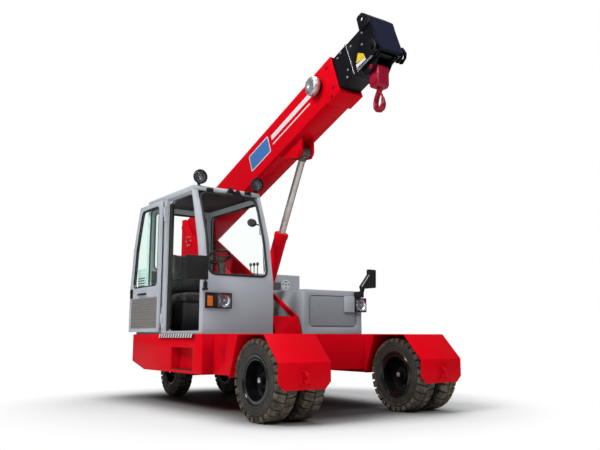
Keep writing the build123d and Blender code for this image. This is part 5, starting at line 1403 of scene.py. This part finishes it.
    def pad(self, name: str, low: Point, high: Point, crown: int, nodes: Sequence[str],
            place: Matrix = LAYOUT) -> bpy.types.Object:
        """A cushion: a closed form with crowned faces, pulled-in sides and two sewn channels.

        Args:
            name: The piece's name.
            low: Lowest corner in millimetres.
            high: Highest corner in millimetres.
            crown: The axis that the cushion is thin along.
            nodes: CAD nodes that it stands for.
            place: From millimetres to the frame.

        Returns:
            The cushion.
        """
        part = bmesh.new()
        bmesh.ops.create_cube(part, size=2.0)
        bmesh.ops.subdivide_edges(part, edges=part.edges, cuts=15, use_grid_fill=True)
        size = [(b - a) / 2 for a, b in zip(low, high)]
        middle = [(a + b) / 2 for a, b in zip(low, high)]
        flat = [k for k in range(3) if k != crown]
        for v in part.verts:
            u, w = v.co[flat[0]], v.co[flat[1]]
            edge = max(abs(u), abs(w))
            v.co[crown] *= (1 - 0.3 * edge ** 4) * (1 - self.slack / size[crown])
            pull = (1 - 0.05 * (1 - abs(v.co[crown])) * edge)
            for k in flat:
                v.co[k] *= pull * (1 - self.slack / size[k])
            v.co = Vector(c * s + m for c, s, m in zip(v.co, size, middle))
        part.transform(Matrix.Scale(0.001, 4))
        data = bpy.data.meshes.new(name)
        part.to_mesh(data)
        part.free()
        obj = linked(name, data)
        swollen(obj, self.slack / 1000)
        seam, width, depth = 0.42, 0.045, 0.011
        for v in obj.data.vertices:
            inside = [(c - m) / s for c, s, m in zip(v.co * 1000, size, middle)]
            u, w = inside[flat[0]], inside[flat[1]]
            edge = min(1.0, max(abs(u), abs(w)))
            channel = math.exp(-((u - seam) / width) ** 2) + math.exp(-((u + seam) / width) ** 2)
            fade = (1 - edge ** 6) * min(1, abs(inside[crown]) * 2)
            v.co[crown] -= math.copysign(depth, inside[crown]) * channel * fade
        obj.data.transform(place @ Matrix.Scale(1000, 4))
        dress(obj, Finish.CLOTH, "chassis", 80.0, nodes)
        return obj

    def controls(self) -> None:
        """Steering wheel on its column, lever console and pedals."""
        x, y, z, rake = -1425.0, -655.0, 1572.0, math.radians(28)
        up = Vector((-math.sin(rake), 0, math.cos(rake)))
        along = Vector((math.cos(rake), 0, math.sin(rake)))
        centre = Vector((x, y, z))
        ring = [tuple(centre + along * 122 * math.cos(math.tau * k / 48) + Vector((0, 1, 0)) * 122 * math.sin(math.tau * k / 48))
                for k in range(48)]
        swept("steering_ring", [ring], 13, Finish.PLASTIC, "chassis", sides=14)
        hub = Form("steering_column").bar(tuple(centre - up * 90), tuple(centre + up * 8), 34, 26, bevel=2)
        for k in range(3):
            a = math.radians(90 + 120 * k)
            tip = centre + along * 118 * math.cos(a) + Vector((0, 1, 0)) * 118 * math.sin(a)
            hub.bar(tuple(centre), tuple(tip), 8, 6, sides=12)
        hub.plate([(-1290, 765), (-1170, 765), (-1340, 1500), (-1388, 1500)], Axis.Y, y - 40, y + 40, 10.0)
        hub.done(Finish.PLASTIC, "chassis", Slot.PLASTIC, stands_for=["steering"])
        softened("console", Finish.PLASTIC, "chassis", 3.0)
        knobs = Form("lever_knobs")
        for k in range(3):
            knobs.ball((-1280 + 55 * k, -340 + 10 * k, 1492), 16, (1, 1, 1.25))
        knobs.done(Finish.PLASTIC, "chassis", Slot.PLASTIC)
        pedals = Form("pedals")
        for k in range(2):
            pedals.plate([(-1170, 800), (-1162, 800), (-1116, 930), (-1124, 934)], Axis.Y, -600 + 130 * k, -540 + 130 * k, 3.0)
            pedals.bar((-1130, -570 + 130 * k, 860), (-1082, -570 + 130 * k, 880), 8, sides=12)
        pedals.done(Finish.STEEL, "chassis", Slot.STEEL)


@dataclass
class Boom:
    """Telescopic boom with its head, cable reel and lift cylinder."""

    side: float = 142.0
    reel_at: Flat = (3124.0, 170.0)

    def build(self) -> None:
        """Makes the boom."""
        softened("boom_base", Finish.RED, "boom", 3.0)
        softened("boom_stage_1", Finish.BLACK, "stage_1", 1.5)
        softened("boom_stage_2", Finish.BLACK, "stage_2", 1.5)
        softened("boom_head", Finish.BLACK, "stage_2", 2.0)
        self.bands()
        self.reel()
        self.head_fittings()
        self.cylinder()

    def bands(self) -> None:
        """Plain blue panel with a white edge and white stripes on both sides."""
        for side, sign in (("right", -1), ("left", 1)):
            for name, corners, radius, lift, finish in (
                    (f"boom_panel_edge_{side}", (1690, 2130, 40, 250), 24, 0, Finish.WHITE),
                    (f"boom_panel_{side}", (1702, 2118, 52, 238), 18, 0.6, Finish.BLUE),
                    (f"boom_stripe_{side}_0", (2190, 3010, 150, 210), 6, 0, Finish.WHITE),
                    (f"boom_stripe_{side}_1", (2190, 2950, 88, 104), 6, 0, Finish.WHITE)):
                low = self.side + lift
                band = Form(name, sign).plate(rounded(rectangle(*corners), radius), Axis.Y, low, low + 1, 0)
                band.done(finish, "boom", Slot.RED, BOOM)

    def reel(self) -> None:
        """Spring reel for the length cable, in a domed silver case."""
        s, t = self.reel_at
        back = Form("reel_back").bar((s, -147, t), (s, -182, t), 88, sides=48, bevel=3)
        back.done(Finish.PLASTIC, "boom", Slot.PLASTIC, BOOM)
        dome = [(0, 58), (22, 58), (26, 61), (70, 66), (84, 62), (97, 50), (102, 34), (102, 8), (98, 0), (0, 0)]
        Form("reel_case").turned(dome, (s, -182, t), (0, -1, 0), 64).done(
            Finish.ZINC, "boom", Slot.STEEL, BOOM, stands_for=["cable_reel"])
        spots = [(spot, (0, -1, 0)) for spot in upright(circle(self.reel_at, 74, 6), -246)]
        bolted("reel_screws", spots, 5, Finish.STEEL, "boom", BOOM)

    def head_fittings(self) -> None:
        """Bolts of the head and the slide pads, two plain plates and the pads of the collar."""
        spots = both_sides(((3716, 220), (3716, -66), (3900, 232), (3943, -6), (3860, 120)), 137)
        bolted("head_bolts", spots, 8, Finish.ZINC, "stage_2", BOOM)
        patch = [(3777, 84), (3718, 4), (3782, -12), (3848, -20), (3842, 20)]
        Form("head_plate").plate(patch, Axis.Y, -137.5, -136, 0).done(Finish.YELLOW, "stage_2", Slot.BLACK, BOOM)
        strip = [(3712, -8), (3710, -47), (3848, -56), (3846, -24)]
        Form("head_strip").plate(strip, Axis.Y, -137.5, -136, 0).done(Finish.WHITE, "stage_2", Slot.BLACK, BOOM)
        face = [(4055, -74), (4059, -74), (4060, 301), (3987, 410), (3983, 406), (4055, 299)]
        Form("head_face").plate(face, Axis.Y, -135, 135, 0).done(Finish.NAVY, "stage_2", Slot.BLACK, BOOM)
        # Light lines on both sides. The first is a strip at the flange, partly a real plate and partly a painted
        # highlight. The two lower ones are painted highlights along the head's lower edge.
        edges = []
        for sign in (-1, 1):
            edges += [[(3657, sign * 138, 290), (3657, sign * 138, -82)],
                      [(3700, sign * 137, -86), (4030, sign * 137, -86)], [(3720, sign * 137, -72), (4020, sign * 137, -72)]]
        swept("head_flange_and_edge_highlights", edges, 3.0, Finish.ZINC, "stage_2", closed=False, place=BOOM)
        half = (LAYOUT.translation.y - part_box("boom_stage_1")[0].y) * 1000
        stage = both_sides(((3564, 262), (3507, 240), (3595, 22), (3560, -40)), half)
        bolted("stage_bolts", stage, 8, Finish.ZINC, "stage_1", BOOM)
        pads = both_sides(((3324, 264), (3345, 1), (3290, -70)), 149)
        bolted("collar_bolts", pads, 13, Finish.HOOK, "boom", BOOM)

    def cylinder(self) -> None:
        """Lift cylinder: painted barrel with its gland, and the chromed rod with its eye."""
        low, high = 1556.0, 1620.0
        barrel = [(59.5, 60), (72.5, 60), (72.5, low), (78.5, low + 4), (78.5, high - 14), (72, high - 8), (62, high - 4),
                  (40, high), (38.5, high), (38.5, low - 6), (59.5, low - 10)]
        form = Form("lift_barrel_tube").turned(barrel, (0, 0, 0), (1, 0, 0), 64)
        form.bar((0, -40, 0), (0, 40, 0), 66, sides=48, bevel=3).box((20, -38, -50), (90, 38, 50), 8.0)
        form.box((150, -40, 66), (230, 40, 96), 5.0)
        form.done(Finish.RED, "lift_barrel", Slot.RED, CYLINDER, stands_for=["lift_barrel"])
        swept("lift_barrel_pipe", [[(190, 0, 98), (240, 0, 102), (1420, 0, 102), (1470, 0, 90), (1490, 0, 70)]], 9, Finish.RED,
              "lift_barrel", closed=False, place=CYLINDER, sides=12)
        end = 2546.35
        Form("lift_rod_shaft").bar((end - 1756, 0, 0), (end - 40, 0, 0), 37.5, sides=64).bar(
            (end - 1756, 0, 0), (end - 1676, 0, 0), 58, sides=48).done(Finish.CHROME, "lift_rod", Slot.STEEL, CYLINDER,
                                                                        stands_for=["lift_rod"])
        eye = [(31, -50), (52, -50), (58, -44), (58, 44), (52, 50), (31, 50)]
        Form("lift_rod_eye").turned(eye, (end, 0, 0), (0, 1, 0), 56).bar((end - 96, 0, 0), (end - 50, 0, 0), 46, sides=48,
                                                                       bevel=3).done(
            Finish.STEEL, "lift_rod", Slot.STEEL, CYLINDER)


@dataclass
class HookGear:
    """Hook block and swivelling hook."""

    stout: float = 1.22

    def build(self) -> None:
        """Makes the block, and the forged hook with its latch."""
        softened("hook_block", Finish.HOOK, "hook_block", 3.0)
        low, high = drawn_box("hook")
        x, top = (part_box("hook_block")[0].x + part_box("hook_block")[1].x) / 2 - LAYOUT.translation.x, high.z
        x *= 1000
        bowl_z = low.z + 73
        path: list[tuple[float, float, float]] = [(x, top - 4, 18), (x, bowl_z + 140, 18), (x - 6, bowl_z + 122, 18),
                                                  (x - 28, bowl_z + 92, 17), (x - 44, bowl_z + 60, 17), (x - 52, bowl_z + 30, 17)]
        for degrees, radius in ((180, 18), (205, 20), (235, 21), (270, 21), (305, 20), (335, 18), (360, 16), (382, 14)):
            a = math.radians(degrees)
            path.append((x + 52 * math.cos(a), bowl_z + 54 * math.sin(a), radius))
        path += [(x + 46, bowl_z + 44, 12), (x + 44, bowl_z + 62, 8)]
        rings = []
        count = 20
        for k, (px, pz, slim) in enumerate(path):
            radius = slim * self.stout
            ahead, behind = path[min(k + 1, len(path) - 1)], path[max(k - 1, 0)]
            way = Vector((ahead[0] - behind[0], 0, ahead[1] - behind[1])).normalized()
            side = Vector((way.z, 0, -way.x))
            rings.append([tuple(Vector((px, 0, pz)) + side * radius * math.cos(math.tau * j / count)
                                + Vector((0, 1, 0)) * radius * 1.4 * math.sin(math.tau * j / count)) for j in range(count)])
        hook = Form("hook_forging").loft(rings)
        hook.bar((x, 0, bowl_z + 128), (x, 0, bowl_z + 153), 30, sides=6, bevel=3)
        hook.done(Finish.HOOK, "hook", Slot.HOOK, smooth=60.0, stands_for=["hook"])
        outline = [(x + ahead, bowl_z + rise) for ahead, rise in (
            (2, 122), (16, 124), (40, 86), (54, 40), (42, 36), (28, 78))]
        latch = Form("hook_latch").plate(outline, Axis.Y, -9, 9, 3.0)
        latch.done(Finish.HOOK, "hook", Slot.HOOK)


@dataclass
class Studio:
    """Camera, lights, world and floor."""

    camera: Point = (5122.0, -4168.0, 721.0)
    azimuth: float = 55.008
    pitch: float = 9.225
    lens: float = 41.304
    lamps: tuple[tuple[str, Point, float, float], ...] = field(default_factory=lambda: (
        ("key", (200, -6800, 7200), 3.4, 540.0),
        ("front", (7400, 600, 7600), 3.6, 290.0),
        ("top", (-800, 300, 9000), 4.0, 240.0),
        ("back", (-6000, 4200, 8500), 4.0, 70.0),
    ))
    shade_from: float = 1.9
    shade_to: float = 3.1
    # Painted shadow on the floor: half sizes of its dark core below the machine, and the width (fade) over which it
    # lightens.
    painted_shadow_box: tuple[float, float] = (1.35, 0.5)
    fade: float = 1.05

    def shoot(self) -> None:
        """Makes the camera at the photograph's viewing angle."""
        data = bpy.data.cameras.new("camera")
        data.lens, data.sensor_width, data.sensor_fit = self.lens, 36.0, "HORIZONTAL"
        data.clip_start, data.clip_end = 0.05, 200.0
        camera = bpy.data.objects.new("camera", data)
        a, p = math.radians(self.azimuth), math.radians(self.pitch)
        way = Vector((-math.sin(a) * math.cos(p), math.cos(a) * math.cos(p), math.sin(p)))
        camera.location = LAYOUT @ Vector(self.camera)
        camera.rotation_mode = "QUATERNION"
        camera.rotation_quaternion = way.to_track_quat("-Z", "Y")
        bpy.context.scene.collection.objects.link(camera)
        bpy.context.scene.camera = camera

    def light(self) -> None:
        """Makes the lamps, the world and the floor."""
        target = LAYOUT @ Vector((-1400, 0, 1300))
        for name, place, size, power in self.lamps:
            data = bpy.data.lights.new(name, "AREA")
            data.energy, data.size = power, size
            lamp = bpy.data.objects.new(name, data)
            lamp.location = LAYOUT @ Vector(place)
            lamp.rotation_mode = "QUATERNION"
            lamp.rotation_quaternion = (target - lamp.location).to_track_quat("-Z", "Y")
            bpy.context.scene.collection.objects.link(lamp)
        world = bpy.data.worlds.new("studio")
        bpy.context.scene.world = world
        world.use_nodes = True
        tree = world.node_tree
        tree.nodes.clear()
        path = add(tree, "ShaderNodeLightPath")
        seen = add(tree, "ShaderNodeMath", {0: path.outputs["Is Camera Ray"], 1: path.outputs["Is Transmission Ray"]},
                   operation="MAXIMUM")
        soft = add(tree, "ShaderNodeBackground", {"Color": (0.86, 0.90, 0.96, 1), "Strength": 0.16})
        white = add(tree, "ShaderNodeBackground", {"Color": (1, 1, 1, 1), "Strength": 1.0})
        mixed = add(tree, "ShaderNodeMixShader", {0: seen.outputs[0], 1: soft.outputs[0], 2: white.outputs[0]})
        add(tree, "ShaderNodeOutputWorld", {0: mixed.outputs[0]})
        bpy.context.scene.view_settings.view_transform = "Standard"
        self.floor()

    def floor(self) -> None:
        """Makes the pale floor with a painted shadow: its colour is darker below the machine, and it turns into plain
        white away from it.
        """
        data = bpy.data.meshes.new("floor")
        reach = 60.0
        data.from_pydata([(x, y, 0) for x, y in rectangle(-reach, reach, -reach, reach)], [], [(0, 1, 2, 3)])
        floor = linked("floor", data)
        material, tree, surface, where = blank("studio_floor")
        surface.inputs["Roughness"].default_value = 0.7
        middle = LAYOUT @ Vector((-1500, 0, 0))
        offset = add(tree, "ShaderNodeVectorMath", {0: where, 1: tuple(middle)}, operation="SUBTRACT")
        offset = add(tree, "ShaderNodeVectorMath", {0: offset.outputs[0]}, operation="ABSOLUTE")
        offset = add(tree, "ShaderNodeVectorMath", {0: offset.outputs[0], 1: (*self.painted_shadow_box, 0)}, operation="SUBTRACT")
        offset = add(tree, "ShaderNodeVectorMath", {0: offset.outputs[0], 1: (0, 0, 0)}, operation="MAXIMUM")
        beyond = add(tree, "ShaderNodeVectorMath", {0: offset.outputs[0]}, operation="LENGTH")
        # Painted shadow: the floor's colour is near black below the machine and pale away from it.
        painted_shadow_tone = add(tree, "ShaderNodeMapRange", {"Value": beyond.outputs["Value"], "From Min": 0.0, "From Max": self.fade,
                                                    "To Min": 0.04, "To Max": 0.88}, interpolation_type="SMOOTHSTEP")
        tree.links.new(painted_shadow_tone.outputs[0], surface.inputs["Base Color"])
        path = add(tree, "ShaderNodeLightPath")
        glow = add(tree, "ShaderNodeEmission", {"Color": (1, 1, 1, 1), "Strength": 1.0})
        away = add(tree, "ShaderNodeVectorMath", {0: where}, operation="LENGTH")
        clear = add(tree, "ShaderNodeMapRange", {"Value": away.outputs["Value"], "From Min": self.shade_from,
                                                 "From Max": self.shade_to, "To Min": 0.0, "To Max": 1.0},
                    interpolation_type="SMOOTHSTEP")
        seen = add(tree, "ShaderNodeMath", {0: path.outputs["Is Camera Ray"], 1: path.outputs["Is Transmission Ray"]},
                   operation="MAXIMUM")
        share = add(tree, "ShaderNodeMath", {0: seen.outputs[0], 1: clear.outputs[0]}, operation="MULTIPLY")
        mixed = add(tree, "ShaderNodeMixShader", {0: share.outputs[0], 1: surface.outputs[0], 2: glow.outputs[0]})
        tree.links.new(mixed.outputs[0], tree.nodes["Material Output"].inputs["Surface"])
        data.materials.append(material)


def main() -> None:
    """Builds the studio and every sub-assembly."""
    logging.basicConfig(level=logging.INFO, format="%(name)s %(message)s")
    studio = Studio()
    studio.shoot()
    for assembly in (Wheels(), Chassis(), Tower(), Bodywork(), Cab(), Boom(), HookGear()):
        assembly.build()
    studio.light()


if __name__ == "__main__":
    main()
